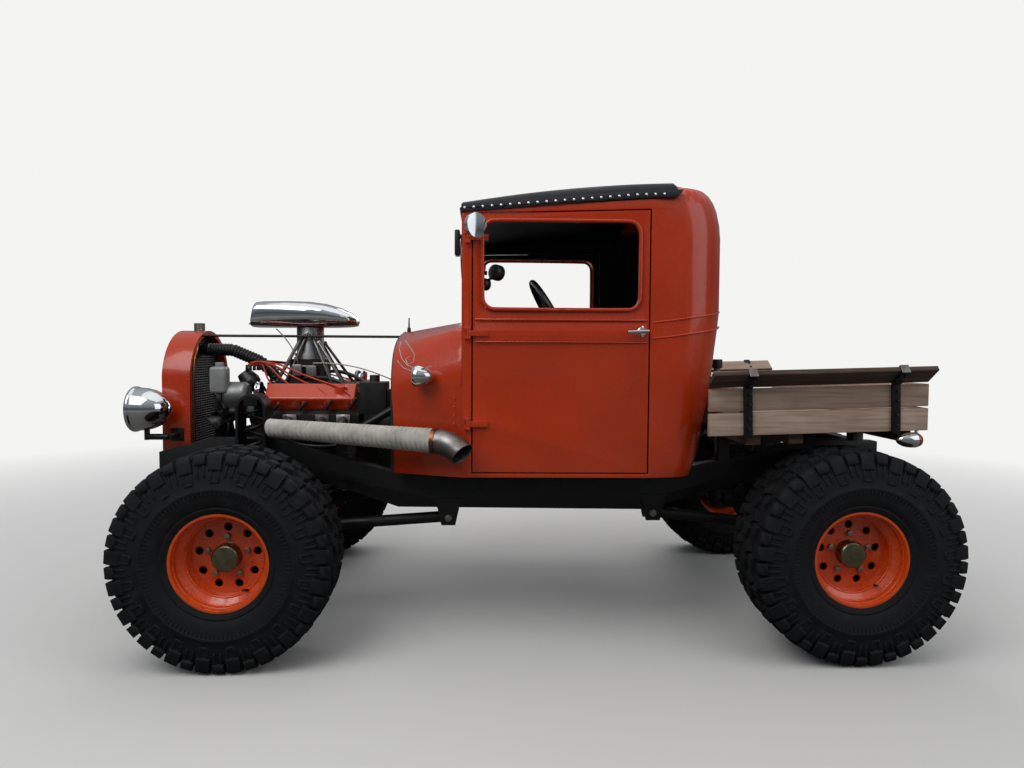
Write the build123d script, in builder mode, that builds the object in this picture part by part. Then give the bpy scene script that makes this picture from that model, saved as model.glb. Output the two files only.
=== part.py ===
"""Hot rod pickup: open-engined cab and plank bed on a coil-sprung four-wheel-drive chassis.

Millimetres. +X points to the rear, +Y to the vehicle's right-hand side, +Z up, the ground is Z 0.
"""

import os
from math import asin, cos, degrees, pi, radians, sin, sqrt, tan

from build123d import *

os.makedirs("parts", exist_ok=True)

# Stance
WHEELBASE = 2540.0
FRONT_AXLE_X = -1190.0
REAR_AXLE_X = FRONT_AXLE_X + WHEELBASE
WHEEL_Y = 795.0

# Tyres and wheels
TYRE_RADIUS = 437.5
TYRE_SECTION = 318.0
TREAD_WIDTH = 256.0
BEAD_RADIUS = 190.5
FLANGE_RADIUS = 208.0
RIM_WIDTH = 260.0
RIM_WALL = 6.5
RIM_WELL_RADIUS = 160.0
DISC_OFFSET = 3.0
DISC_THICKNESS = 12.0
DISC_HOLE_CIRCLE = 118.0
DISC_HOLE_RADIUS = 16.5
DISC_HOLES = 9
STUD_CIRCLE = 82.5
STUDS = 5
NUT_RADIUS = 11.0
NUT_HEIGHT = 16.0
HUB_CAP_RADIUS = 54.0
HUB_CAP_REACH = 64.0
SPINDLE_RADIUS = 22.0
SPINDLE_CLEARANCE = 0.3
WHEEL_GAP = 6.0

# Axles and steering
AXLE_Z = TYRE_RADIUS
AXLE_TUBE_RADIUS = 40.0
DIFF_RADIUS = 118.0
DIFF_Y = 200.0
PINION_RADIUS = 45.0
KINGPIN_Y = 620.0
KINGPIN_RADIUS = 38.0
FORK_INSIDE = 85.0
FORK_PLATE = 24.0
FORK_GAP = 0.3
DRUM_RADIUS = 145.0
DRUM_WIDTH = 88.0
STEER_ARM = 150.0
STEER_ARM_INSET = 45.0
STEER_ARM_HEIGHT = 18.0
STEER_ARM_DROP = 62.0
STEER_ARM_HALF = 15.0
STEER_EYE_RADIUS = 20.0
TIE_ROD_RADIUS = 12.0
TIE_EYE_RADIUS = 18.0
TIE_EYE_HEIGHT = 26.0
PINION_REACH = 190.0
PINION_RISE = 20.0

# Chassis
RAIL_Y = 370.0
RAIL_WIDTH = 70.0
CROSSMEMBER = 60.0
SPRING_Y = 470.0
SPRING_RADIUS = 50.0
SPRING_WIRE = 7.0
HOOP_TOP_Z = 1070.0
HOOP_RADIUS = 66.0
HOOP_WALL = 12.0
HOOP_DEPTH = 116.0
REAR_SPRING_TOP_Z = 800.0
SPRING_SEAT_Z = AXLE_Z + 52.0
ARM_RADIUS = 26.0
ARM_GAP = 0.3

# Engine
CRANK_Z = 780.0
ENGINE_FRONT_X = -1225.0
ENGINE_REAR_X = -690.0
BANK_ANGLE = 45.0
DECK_REACH = 235.0
HEAD_REACH = 345.0
HEAD_HALF = 88.0
COVER_HEIGHT = 70.0
COVER_HALF = 62.0
SUMP_Z = 600.0
NECK_X = -1053.0
NECK_RADIUS = 67.0
NECK_TOP_Z = 1378.0
CARB_TOP_Z = 1250.0
MANIFOLD_TOP_Z = 1125.0

# Air scoop
SCOOP_FRONT_X = -1330.0
SCOOP_REAR_X = -805.0
SCOOP_BOTTOM_Z = NECK_TOP_Z
SCOOP_TOP_Z = 1512.0
SCOOP_HALF = 118.0
SCOOP_WALL = 4.0
BUTTERFLY_Z = 1440.0
BUTTERFLY_DEPTH = 80.0

# Radiator
SHELL_FRONT_X = -1690.0
SHELL_DEPTH = 130.0
SHELL_HALF = 255.0
SHELL_TOP_Z = 1360.0
SHELL_SHOULDER_Z = 1140.0
SHELL_BOTTOM_Z = 735.0
SHELL_WALL = 22.0
CORE_DEPTH = 55.0
GRILLE_BAR = 6.0
GRILLE_BARS = 13

# Headlamps
LAMP_FRONT_X = -1787.5
LAMP_Y = 350.0
LAMP_Z = 990.0
LAMP_RADIUS = 105.0
LAMP_LENGTH = 183.0

# Exhaust
PIPE_START = (-1098.0, 552.0, 925.0)
PIPE_END = (-370.0, 722.0, 890.0)
PIPE_START_RADIUS = 35.0
PIPE_END_RADIUS = 47.0
PIPE_WALL = 3.0
TIP_TURN_RADIUS = 190.0
TIP_TURN = 42.0

# Cab body
COWL_FRONT_X = -570.0
POST_X = -262.0
DOOR_FRONT_X = -220.0
DOOR_REAR_X = 535.0
DOOR_HALF = 690.0
POST_HALF = DOOR_HALF - 18.0
COWL_FRONT_HALF = DOOR_HALF - 142.0
CAB_BACK_X = 886.0
CAB_REAR_HALF = DOOR_HALF - 12.0
CAB_BOTTOM_Z = 728.0
CAB_WALL = 30.0
ROOF_EDGE_FRONT_Z = 1854.0
ROOF_EDGE_REAR_Z = 1914.0
ROOF_CROWN_FRONT_Z = 1920.0
ROOF_CROWN_Z = 2036.0
ROOF_BREAK_X = 640.0
ROOF_WALL = 26.0
ROOF_SHOULDER = 90.0
ROOF_SHOULDER_RISE = 0.62
SILL_Z = 745.0
DOOR_TOP_FRONT_Z = 1843.0
DOOR_TOP_REAR_Z = 1866.0
DOOR_GAP = 6.0
DOOR_THICKNESS = 45.0
WINDOW_X0 = -180.0
WINDOW_X1 = 495.0
WINDOW_Z0 = 1437.0
WINDOW_Z1 = 1816.0
WINDOW_CORNER = 50.0
BELT_Z0 = 1310.0
BELT_Z1 = 1385.0
BELT_PROUD = 5.0
HINGE_RADIUS = 10.0
HINGE_HEIGHT = 50.0
HINGE_EYE = 24.0
HINGE_GAP = 0.3
HINGE_SEAT = 1.5
HINGE_X = DOOR_FRONT_X - 12.0
HINGE_ZS = (957.0, 1340.0, 1740.0)
GLASS = 6.0
SCREEN_HALF = DOOR_HALF - 90.0
SCREEN_Z0 = 1432.0
SCREEN_Z1 = 1806.0
REAR_GLASS_HALF = 300.0
REAR_GLASS_Z0 = 1490.0
REAR_GLASS_Z1 = 1730.0
FLOOR = 17.0

# Bed
BED_FRONT_X = 760.0
BED_REAR_X = 1680.0
BED_FRONT_Z = 919.0
BED_TILT = 1.7
BED_HALF = 800.0
BOARD = 28.0
BOARD_HEIGHT = 93.0
BOARD_SPLIT = 8.0
SIDE_HEIGHT = 2 * BOARD_HEIGHT + BOARD_SPLIT
FLARE_BOARD = 22.0
FLARE_WIDTH = 92.0
FLARE_ANGLE = 35.0
STAKE_WIDTH = 36.0
STAKE = 12.0
HEADBOARD_X = 905.0
PLANKS = 9
PLANK_GAP = 4.0
BEARER_HEIGHT = 45.0

# Small lamps
COWL_LAMP = (-427.0, 1157.0)
COWL_LAMP_RADIUS = 46.0
TAIL_LAMP = (1600.0, 800.0, 906.0)
TAIL_LAMP_RADIUS = 32.0


def block(x0, x1, y0, y1, z0, z1, mode=Mode.ADD):
    """Box between two corners, in the builder that is open."""
    with Locations(((x0 + x1) / 2, (y0 + y1) / 2, (z0 + z1) / 2)):
        Box(x1 - x0, y1 - y0, z1 - z0, mode=mode)


def rod(start, end, radius, mode=Mode.ADD):
    """Round bar from one point to another."""
    run = Vector(*end) - Vector(*start)
    with BuildSketch(Plane(origin=start, z_dir=run)) as section:
        Circle(radius)
    extrude(section.sketch, amount=run.length, mode=mode)


def side_outline(points, y0, y1, mode=Mode.ADD):
    """Prism whose X and Z outline is given, from y0 to y1."""
    with BuildSketch(Plane.XZ.offset(-y0)) as outline:
        with BuildLine():
            Polyline(*points, close=True)
        make_face()
    extrude(outline.sketch, amount=y0 - y1, mode=mode)


def plan_outline(points, z0, z1, mode=Mode.ADD):
    """Prism whose X and Y outline is given, from z0 to z1."""
    with BuildSketch(Plane.XY.offset(z0)) as outline:
        with BuildLine():
            Polyline(*points, close=True)
        make_face()
    extrude(outline.sketch, amount=z1 - z0, mode=mode)


def turned(origin, direction, profile, mode=Mode.ADD):
    """Solid of revolution: profile rows are the radius and the distance along from the origin."""
    along = Vector(*direction)
    normal = (Vector(1, 0, 0) if abs(along.Z) > 0.5 else Vector(0, 0, 1)).cross(along)
    with BuildSketch(Plane(origin=origin, x_dir=along.cross(normal), z_dir=normal)) as outline:
        with BuildLine():
            Polyline(*profile, close=True)
        make_face()
    revolve(outline.sketch, axis=Axis(origin, direction), mode=mode)


def save(part, name):
    """Label a finished piece and write it to its own file."""
    part.label = name
    export_step(part, f"parts/{name}.step")


def cab_half(x):
    """Half width of the cab's side at a station between the screen post and the door's rear edge."""
    share = (x - POST_X) / (DOOR_REAR_X - POST_X)
    return POST_HALF + share * (DOOR_HALF - POST_HALF)


def roof_edge(x):
    """Height of the roof's side edge."""
    share = (x - POST_X) / (ROOF_BREAK_X - POST_X)
    return ROOF_EDGE_FRONT_Z + share * (ROOF_EDGE_REAR_Z - ROOF_EDGE_FRONT_Z)


def bed_z(x, above=0.0):
    """Height of a point of the tilted bed, above the lower edge of its side boards."""
    return BED_FRONT_Z + (x - BED_FRONT_X) * tan(radians(BED_TILT)) + above


def rail_top(x):
    """Height of the top of a chassis rail."""
    for (x0, z0), (x1, z1) in zip(RAIL_TOP, RAIL_TOP[1:]):
        if x0 <= x <= x1:
            return z0 + (x - x0) / (x1 - x0) * (z1 - z0)
    raise ValueError(x)


# Chassis rails, X and Z of the top edge and of the bottom edge from front to rear
RAIL_FRONT_X = -1640.0
RAIL_REAR_X = 1690.0
RAIL_TOP = [(RAIL_FRONT_X, 800.0), (-1420.0, 860.0), (-1120.0, 860.0), (-560.0, 700.0),
            (560.0, 690.0), (1060.0, 780.0), (1350.0, 860.0), (RAIL_REAR_X, 850.0)]
RAIL_BOTTOM = [(RAIL_FRONT_X, 710.0), (-1420.0, 745.0), (-1120.0, 740.0), (-560.0, 545.0),
               (580.0, 530.0), (1060.0, 660.0), (1350.0, 740.0), (RAIL_REAR_X, 760.0)]
# Crossmembers, X of the middle and the height of top and bottom
CROSSMEMBERS = [(-1600.0, SHELL_BOTTOM_Z, 680.0), (-1010.0, 596.0, 540.0), (230.0, 690.0, 640.0),
                (600.0, 680.0, 580.0), (1130.0, 790.0, 710.0), (1650.0, 845.0, 770.0)]
RAIL_INSIDE = RAIL_Y - RAIL_WIDTH / 2
RAIL_OUTSIDE = RAIL_Y + RAIL_WIDTH / 2
ARM_Y = RAIL_Y
FRONT_ARM_PIVOT = (-329.0, 493.0)
REAR_ARM_PIVOT = (626.0, 513.0)
HOOP_BASE_Z = 765.0
SPRING_TOP_Z = HOOP_TOP_Z - 52.0
BODY_MOUNT_XS = (-450.0, 60.0, 590.0)
BED_MOUNT_XS = (960.0, 1140.0, 1600.0)
BED_MOUNT = 50.0
BRACKET = 16.0
TOW_PLATE = 12.0
TOW_HOLE_PITCH = (83.0, 56.0)
TOW_HOLE_RADIUS = 6.5
TOW_PLATE_SIZE = (130.0, 110.0)
TOW_Z = 700.0

with BuildPart() as chassis_frame:
    for side in (-1, 1):
        side_outline(RAIL_TOP + RAIL_BOTTOM[::-1], side * RAIL_INSIDE, side * RAIL_OUTSIDE)
    for side in (-1, 1):
        # Spring hoop: an arched band over the front coil, on a shelf beside the rail
        outer = SPRING_Y + HOOP_DEPTH / 2
        low, high = sorted((side * RAIL_OUTSIDE, side * outer))
        block(FRONT_AXLE_X - HOOP_RADIUS, FRONT_AXLE_X + HOOP_RADIUS, low, high, HOOP_BASE_Z,
              HOOP_BASE_Z + HOOP_WALL)
        with BuildSketch(Plane.XZ.offset(-side * (SPRING_Y - HOOP_DEPTH / 2))):
            for radius, mode in ((HOOP_RADIUS, Mode.ADD), (HOOP_RADIUS - HOOP_WALL, Mode.SUBTRACT)):
                with Locations((FRONT_AXLE_X, HOOP_TOP_Z - HOOP_RADIUS)):
                    Circle(radius, mode=mode)
                height = HOOP_TOP_Z - HOOP_RADIUS - HOOP_BASE_Z
                with Locations((FRONT_AXLE_X, HOOP_BASE_Z + height / 2)):
                    Rectangle(2 * radius, height, mode=mode)
        extrude(amount=-side * HOOP_DEPTH)
        low, high = sorted((side * (SPRING_Y - HOOP_DEPTH / 2), side * outer))
        block(FRONT_AXLE_X - 30, FRONT_AXLE_X + 30, low, high, SPRING_TOP_Z, HOOP_TOP_Z - HOOP_WALL)
        with Locations((FRONT_AXLE_X, side * SPRING_Y, HOOP_BASE_Z)):
            Cylinder(SPRING_RADIUS + 3, 4 * HOOP_WALL, mode=Mode.SUBTRACT)
        # Rear spring cups, pivot brackets of the four suspension arms
        low, high = sorted((side * RAIL_OUTSIDE, side * (SPRING_Y + SPRING_RADIUS)))
        block(REAR_AXLE_X - 60, REAR_AXLE_X + 60, low, high, REAR_SPRING_TOP_Z,
              REAR_SPRING_TOP_Z + HOOP_WALL)
        for x, z in (FRONT_ARM_PIVOT, REAR_ARM_PIVOT):
            for y in (ARM_Y - ARM_RADIUS - BRACKET - ARM_GAP, ARM_Y + ARM_RADIUS + ARM_GAP):
                low, high = sorted((side * y, side * (y + BRACKET)))
                side_outline([(x - 32, z - 34), (x + 32, z - 34), (x + 60, z + 90), (x - 60, z + 90)],
                             low, high)
        for x in BODY_MOUNT_XS:
            with Locations((x, side * RAIL_Y, (rail_top(x) - 8 + CAB_BOTTOM_Z) / 2)):
                Cylinder(30, CAB_BOTTOM_Z - rail_top(x) + 8)
        for x in BED_MOUNT_XS:
            half = BED_MOUNT / 2
            side_outline([(x - half, rail_top(x) - 25), (x + half, rail_top(x) - 25),
                          (x + half, bed_z(x + half, -BEARER_HEIGHT)),
                          (x - half, bed_z(x - half, -BEARER_HEIGHT))],
                         side * (RAIL_Y - 30), side * (RAIL_Y + 30))
save(chassis_frame.part, "chassis_frame")

with BuildPart() as crossmembers:
    for x, top, bottom in CROSSMEMBERS:
        block(x - CROSSMEMBER / 2, x + CROSSMEMBER / 2, -RAIL_INSIDE, RAIL_INSIDE, bottom, top)
    # The engine's crossmember hangs from the rails on a leg at each end
    x, top, bottom = CROSSMEMBERS[1]
    for side in (-1, 1):
        inner, outer = sorted((side * (RAIL_INSIDE - 40), side * RAIL_INSIDE))
        block(x - CROSSMEMBER / 2, x + CROSSMEMBER / 2, inner, outer, bottom, rail_top(x) - 90)
    # Tow plate on the rear crossmember, with four bolt holes
    tow_x = CROSSMEMBERS[-1][0] + CROSSMEMBER / 2
    block(tow_x, tow_x + TOW_PLATE, -TOW_PLATE_SIZE[0] / 2, TOW_PLATE_SIZE[0] / 2,
          TOW_Z - TOW_PLATE_SIZE[1] / 2, CROSSMEMBERS[-1][1])
    with Locations(*[(tow_x + TOW_PLATE / 2, y * TOW_HOLE_PITCH[0] / 2, TOW_Z + z * TOW_HOLE_PITCH[1] / 2)
                     for y in (-1, 1) for z in (-1, 1)]):
        Cylinder(TOW_HOLE_RADIUS, 3 * TOW_PLATE, rotation=(0, 90, 0), mode=Mode.SUBTRACT)
    add(chassis_frame.part, mode=Mode.SUBTRACT)
save(crossmembers.part, "crossmembers")

# Axle beams
FORK_TOP = FORK_INSIDE + FORK_PLATE
FORK_REACH = KINGPIN_Y + 34.0
FORK_WEB_Y = 560.0
FORK_HALF = 52.0

with BuildPart() as front_axle:
    rod((FRONT_AXLE_X, -FORK_WEB_Y, AXLE_Z), (FRONT_AXLE_X, FORK_WEB_Y, AXLE_Z), AXLE_TUBE_RADIUS)
    with Locations((FRONT_AXLE_X, DIFF_Y, AXLE_Z)):
        Sphere(DIFF_RADIUS)
    pinion = (FRONT_AXLE_X + PINION_REACH, DIFF_Y, AXLE_Z + PINION_RISE)
    rod((FRONT_AXLE_X, DIFF_Y, AXLE_Z), pinion, PINION_RADIUS)
    for side in (-1, 1):
        low, high = sorted((side * (FORK_WEB_Y - 24), side * FORK_WEB_Y))
        block(FRONT_AXLE_X - 20, FRONT_AXLE_X + 20, low, high, AXLE_Z - FORK_TOP, AXLE_Z + FORK_TOP)
        low, high = sorted((side * (FORK_WEB_Y - 24), side * FORK_REACH))
        for z in (AXLE_Z - FORK_TOP, AXLE_Z + FORK_INSIDE):
            block(FRONT_AXLE_X - FORK_HALF, FRONT_AXLE_X + FORK_HALF, low, high, z, z + FORK_PLATE)
        with Locations((FRONT_AXLE_X, side * SPRING_Y, (AXLE_Z + SPRING_SEAT_Z) / 2)):
            Cylinder(SPRING_RADIUS + 8, SPRING_SEAT_Z - AXLE_Z)
save(front_axle.part, "front_axle")

AXLE_FLANGE_Y = WHEEL_Y + DISC_OFFSET - WHEEL_GAP - DRUM_WIDTH - 14.0
DRUM_FACE_Y = AXLE_FLANGE_Y + DRUM_WIDTH
SPINDLE_END_Y = WHEEL_Y + 34.0

with BuildPart() as rear_axle:
    rod((REAR_AXLE_X, -AXLE_FLANGE_Y, AXLE_Z), (REAR_AXLE_X, AXLE_FLANGE_Y, AXLE_Z), AXLE_TUBE_RADIUS + 5)
    with Locations((REAR_AXLE_X, DIFF_Y, AXLE_Z)):
        Sphere(DIFF_RADIUS + 8)
    pinion = (REAR_AXLE_X - PINION_REACH, DIFF_Y, AXLE_Z + PINION_RISE)
    rod((REAR_AXLE_X, DIFF_Y, AXLE_Z), pinion, PINION_RADIUS)
    for side in (-1, 1):
        rod((REAR_AXLE_X, side * AXLE_FLANGE_Y, AXLE_Z), (REAR_AXLE_X, side * DRUM_FACE_Y, AXLE_Z),
            DRUM_RADIUS)
        rod((REAR_AXLE_X, side * DRUM_FACE_Y, AXLE_Z), (REAR_AXLE_X, side * SPINDLE_END_Y, AXLE_Z),
            SPINDLE_RADIUS)
        with Locations((REAR_AXLE_X, side * SPRING_Y, (AXLE_Z + SPRING_SEAT_Z) / 2)):
            Cylinder(SPRING_RADIUS + 12, SPRING_SEAT_Z - AXLE_Z)
save(rear_axle.part, "rear_axle")

# Coil springs, drawn as ridged columns
FRONT_COILS = 11
REAR_COILS = 7

with BuildPart() as coil_springs:
    for x, bottom, top, turns in ((FRONT_AXLE_X, SPRING_SEAT_Z, SPRING_TOP_Z, FRONT_COILS),
                                  (REAR_AXLE_X, SPRING_SEAT_Z, REAR_SPRING_TOP_Z, REAR_COILS)):
        pitch = (top - bottom) / turns
        ridges = [(0.0, 0.0)]
        for turn in range(turns):
            ridges.append((SPRING_RADIUS - 2 * SPRING_WIRE, pitch * turn))
            ridges.append((SPRING_RADIUS, pitch * (turn + 0.5)))
        ridges.append((SPRING_RADIUS - 2 * SPRING_WIRE, top - bottom))
        ridges.append((0.0, top - bottom))
        for side in (-1, 1):
            turned((x, side * SPRING_Y, bottom), (0, 0, 1), ridges)
save(coil_springs.part, "coil_springs")

# Suspension arms, from each axle to its pivot bracket under the rail
with BuildPart() as suspension_arms:
    for side in (-1, 1):
        rod((FRONT_AXLE_X + AXLE_TUBE_RADIUS + ARM_GAP, side * ARM_Y, AXLE_Z),
            (FRONT_ARM_PIVOT[0], side * ARM_Y, FRONT_ARM_PIVOT[1]), ARM_RADIUS)
        rod((REAR_AXLE_X - AXLE_TUBE_RADIUS - 5 - ARM_GAP, side * ARM_Y, AXLE_Z),
            (REAR_ARM_PIVOT[0], side * ARM_Y, REAR_ARM_PIVOT[1]), ARM_RADIUS)
save(suspension_arms.part, "suspension_arms")

# Engine, seen along X: bank() gives Y and Z of a point at a reach from the crank, across the bank
LEAN = radians(BANK_ANGLE)


def bank(reach, across):
    """Y and Z of a point of the right-hand cylinder bank."""
    return (reach * sin(LEAN) + across * cos(LEAN), CRANK_Z + reach * cos(LEAN) - across * sin(LEAN))


def end_outline(points, x0, x1, mode=Mode.ADD):
    """Prism whose Y and Z outline is given, from x0 to x1."""
    with BuildSketch(Plane.YZ.offset(x0)) as outline:
        with BuildLine():
            Polyline(*points, close=True)
        make_face()
    extrude(outline.sketch, amount=x1 - x0, mode=mode)


def both_sides(points):
    """Outline made whole from its right-hand half, which starts and ends on the centre line."""
    return points + [(-y, z) for y, z in points[::-1] if y > 0]


HEAD_FRONT_X = -1205.0
HEAD_REAR_X = -756.0
PORT_Y = 306.0
PORT_Z = 935.0
SUMP_HALF = 130.0
FRONT_COVER_X = -1290.0
FRONT_COVER_HALF = 120.0
MOUNT_X = -950.0

with BuildPart() as engine_block:
    end_outline(both_sides([(0, SUMP_Z), (SUMP_HALF, SUMP_Z), (SUMP_HALF + 10, CRANK_Z - 20),
                            bank(120, HEAD_HALF), bank(DECK_REACH, HEAD_HALF),
                            bank(DECK_REACH, -HEAD_HALF), (60, CRANK_Z + 185), (0, CRANK_Z + 180)]),
                ENGINE_FRONT_X, ENGINE_REAR_X)
    for side in (-1, 1):
        head = [bank(DECK_REACH, HEAD_HALF), (PORT_Y, PORT_Z - 35), (PORT_Y, bank(HEAD_REACH, HEAD_HALF)[1]),
                bank(HEAD_REACH, -HEAD_HALF), bank(DECK_REACH, -HEAD_HALF)]
        end_outline([(side * y, z) for y, z in head], HEAD_FRONT_X, HEAD_REAR_X)
        low, high = sorted((side * SUMP_HALF, side * RAIL_INSIDE))
        block(MOUNT_X - 30, MOUNT_X + 30, low, high, CRANK_Z - 50, CRANK_Z - 10)
    block(FRONT_COVER_X, ENGINE_FRONT_X, -FRONT_COVER_HALF, FRONT_COVER_HALF, SUMP_Z + 60, CRANK_Z + 220)
    rod((FRONT_COVER_X, 0, CRANK_Z), (FRONT_COVER_X - 40, 0, CRANK_Z), 85)
save(engine_block.part, "engine_block")

COVER_FRONT_X = -1195.0
COVER_REAR_X = -772.0

with BuildPart() as valve_covers:
    for side in (-1, 1):
        cover = [bank(HEAD_REACH, COVER_HALF), bank(HEAD_REACH + COVER_HEIGHT, COVER_HALF - 12),
                 bank(HEAD_REACH + COVER_HEIGHT, 12 - COVER_HALF), bank(HEAD_REACH, -COVER_HALF)]
        end_outline([(side * y, z) for y, z in cover], COVER_FRONT_X, COVER_REAR_X)
        with Locations((-840, side * bank(HEAD_REACH + COVER_HEIGHT, 0)[0],
                        bank(HEAD_REACH + COVER_HEIGHT, 0)[1])):
            Cylinder(24, 50)
save(valve_covers.part, "valve_covers")

CARB_HALF = 78.0
CARB_LENGTH = 170.0
CARB_LID = 30.0
MANIFOLD_STEP = 46.0
MANIFOLD_LID = 25.0
MANIFOLD_PAD = (100.0, 90.0)
STRUT_RADIUS = 9.0
STRUT_SPREAD = (20.0, 140.0)
THERMOSTAT_X = -1228.0
THERMOSTAT_HALF = 32.0
HOSE_Y = -15.0

with BuildPart() as carburettor:
    seat_y, seat_z = bank(DECK_REACH, -HEAD_HALF)
    step_y = seat_y + MANIFOLD_STEP
    end_outline(both_sides([(0, seat_z), (seat_y, seat_z), (step_y, seat_z + MANIFOLD_STEP),
                            (step_y, MANIFOLD_TOP_Z - MANIFOLD_LID),
                            (0, MANIFOLD_TOP_Z - MANIFOLD_LID)]), HEAD_FRONT_X + 5, HEAD_REAR_X - 5)
    block(THERMOSTAT_X - THERMOSTAT_HALF, HEAD_FRONT_X + 5, HOSE_Y - THERMOSTAT_HALF,
          HOSE_Y + THERMOSTAT_HALF, MANIFOLD_TOP_Z - 85, MANIFOLD_TOP_Z - MANIFOLD_LID)
    block(NECK_X - MANIFOLD_PAD[0], NECK_X + MANIFOLD_PAD[0], -MANIFOLD_PAD[1], MANIFOLD_PAD[1],
          MANIFOLD_TOP_Z - MANIFOLD_LID, MANIFOLD_TOP_Z)
    block(NECK_X - CARB_LENGTH / 2, NECK_X + CARB_LENGTH / 2, -CARB_HALF, CARB_HALF, MANIFOLD_TOP_Z,
          CARB_TOP_Z - CARB_LID)
    with Locations((NECK_X, 0, CARB_TOP_Z - CARB_LID / 2)):
        Cylinder(NECK_RADIUS + 8, CARB_LID)
    with Locations((NECK_X, 0, (CARB_TOP_Z + NECK_TOP_Z) / 2)):
        Cylinder(NECK_RADIUS, NECK_TOP_Z - CARB_TOP_Z)
    # Four stays that brace the neck from the manifold
    for end in (-1, 1):
        for side in (-1, 1):
            rod((NECK_X + end * STRUT_SPREAD[0], side * (NECK_RADIUS - 4), NECK_TOP_Z - 34),
                (NECK_X + end * STRUT_SPREAD[1], side * (step_y - 14), MANIFOLD_TOP_Z - 30), STRUT_RADIUS)
save(carburettor.part, "carburettor")


def scoop_form(inset, front_x):
    """Teardrop of the air scoop, shrunk by an inset, from a plane at its mouth."""
    with BuildSketch(Plane.XZ) as side_view:
        with BuildLine():
            crest = (SCOOP_FRONT_X + 230, SCOOP_TOP_Z - inset)
            knee = (SCOOP_REAR_X - 55 - inset, SCOOP_TOP_Z - 57 - inset)
            nose = (SCOOP_REAR_X - inset, SCOOP_BOTTOM_Z + 16)
            heel = (SCOOP_REAR_X - 12 - inset, SCOOP_BOTTOM_Z + inset)
            ThreePointArc((front_x, SCOOP_TOP_Z - 17 - inset), crest, knee)
            ThreePointArc(knee, (SCOOP_REAR_X - 13 - inset, SCOOP_TOP_Z - 87 - inset), nose)
            Line(nose, heel)
            Line(heel, (front_x, SCOOP_BOTTOM_Z + inset))
            Line((front_x, SCOOP_BOTTOM_Z + inset), (front_x, SCOOP_TOP_Z - 17 - inset))
        make_face()
    extrude(side_view.sketch, amount=SCOOP_HALF, both=True)
    half = SCOOP_HALF - inset
    rear = SCOOP_REAR_X + 5 - inset
    with BuildSketch(Plane.XY.offset(SCOOP_BOTTOM_Z)) as plan_view:
        with BuildLine():
            Line((front_x, -half), (SCOOP_FRONT_X + 300, -half))
            ThreePointArc((SCOOP_FRONT_X + 300, -half), (rear - 45, -half * 0.62), (rear, 0))
            ThreePointArc((rear, 0), (rear - 45, half * 0.62), (SCOOP_FRONT_X + 300, half))
            Line((SCOOP_FRONT_X + 300, half), (front_x, half))
            Line((front_x, half), (front_x, -half))
        make_face()
    extrude(plan_view.sketch, amount=SCOOP_TOP_Z - SCOOP_BOTTOM_Z, mode=Mode.INTERSECT)


with BuildPart() as scoop_air:
    scoop_form(SCOOP_WALL, SCOOP_FRONT_X - SCOOP_WALL)

with BuildPart() as air_scoop:
    scoop_form(0, SCOOP_FRONT_X)
    add(scoop_air.part, mode=Mode.SUBTRACT)
    # Butterfly plate on its spindle, open in the mouth
    pivot_x = SCOOP_FRONT_X + BUTTERFLY_DEPTH / 2
    rod((pivot_x, 1 - SCOOP_HALF, BUTTERFLY_Z), (pivot_x, SCOOP_HALF - 1, BUTTERFLY_Z), 6)
    side_outline([(SCOOP_FRONT_X, BUTTERFLY_Z - 10), (SCOOP_FRONT_X + BUTTERFLY_DEPTH, BUTTERFLY_Z + 6),
                  (SCOOP_FRONT_X + BUTTERFLY_DEPTH, BUTTERFLY_Z + 10), (SCOOP_FRONT_X, BUTTERFLY_Z - 6)],
                 -SCOOP_HALF + 10, SCOOP_HALF - 10)
save(air_scoop.part, "air_scoop")

# Distributor on the front cover, its axis leaning forward
DISTRIBUTOR_Y = -110.0
DISTRIBUTOR_AXIS = (-0.6, 0.0, 0.8)

with BuildPart() as distributor:
    foot = (FRONT_COVER_X + 38, DISTRIBUTOR_Y, CRANK_Z + 234)
    turned(foot, DISTRIBUTOR_AXIS, [(0, 0), (22, 0), (22, 88), (44, 96), (48, 120), (40, 150), (34, 172),
                                    (0, 178)])
    block(FRONT_COVER_X + 10, ENGINE_FRONT_X - 8, DISTRIBUTOR_Y - 28, DISTRIBUTOR_Y + 28,
          CRANK_Z + 220, CRANK_Z + 238)
save(distributor.part, "distributor")

ALTERNATOR = (-1355.0, -232.0, 1050.0)

with BuildPart() as alternator:
    x, y, z = ALTERNATOR
    turned((FRONT_COVER_X, y, z), (-1, 0, 0), [(0, 0), (48, 0), (62, 14), (62, 96), (48, 112), (20, 112),
                                               (20, 120), (34, 120), (34, 144), (0, 144)])
    block(FRONT_COVER_X, FRONT_COVER_X + 28, y - 20, -FRONT_COVER_HALF, CRANK_Z + 180, CRANK_Z + 218)
    block(FRONT_COVER_X, FRONT_COVER_X + 28, y - 20, y + 60, CRANK_Z + 180, z - 20)
save(alternator.part, "alternator")

FAN_X = -1490.0
FAN_Z = 945.0
FAN_RADIUS = 185.0
FAN_BLADES = 7
FAN_BLADE_WIDTH = 74.0
FAN_HUB_RADIUS = 60.0
FAN_HUB_HALF = 14.0
PUMP_RADIUS = 30.0
PUMP_PULLEY_RADIUS = 72.0

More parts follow.
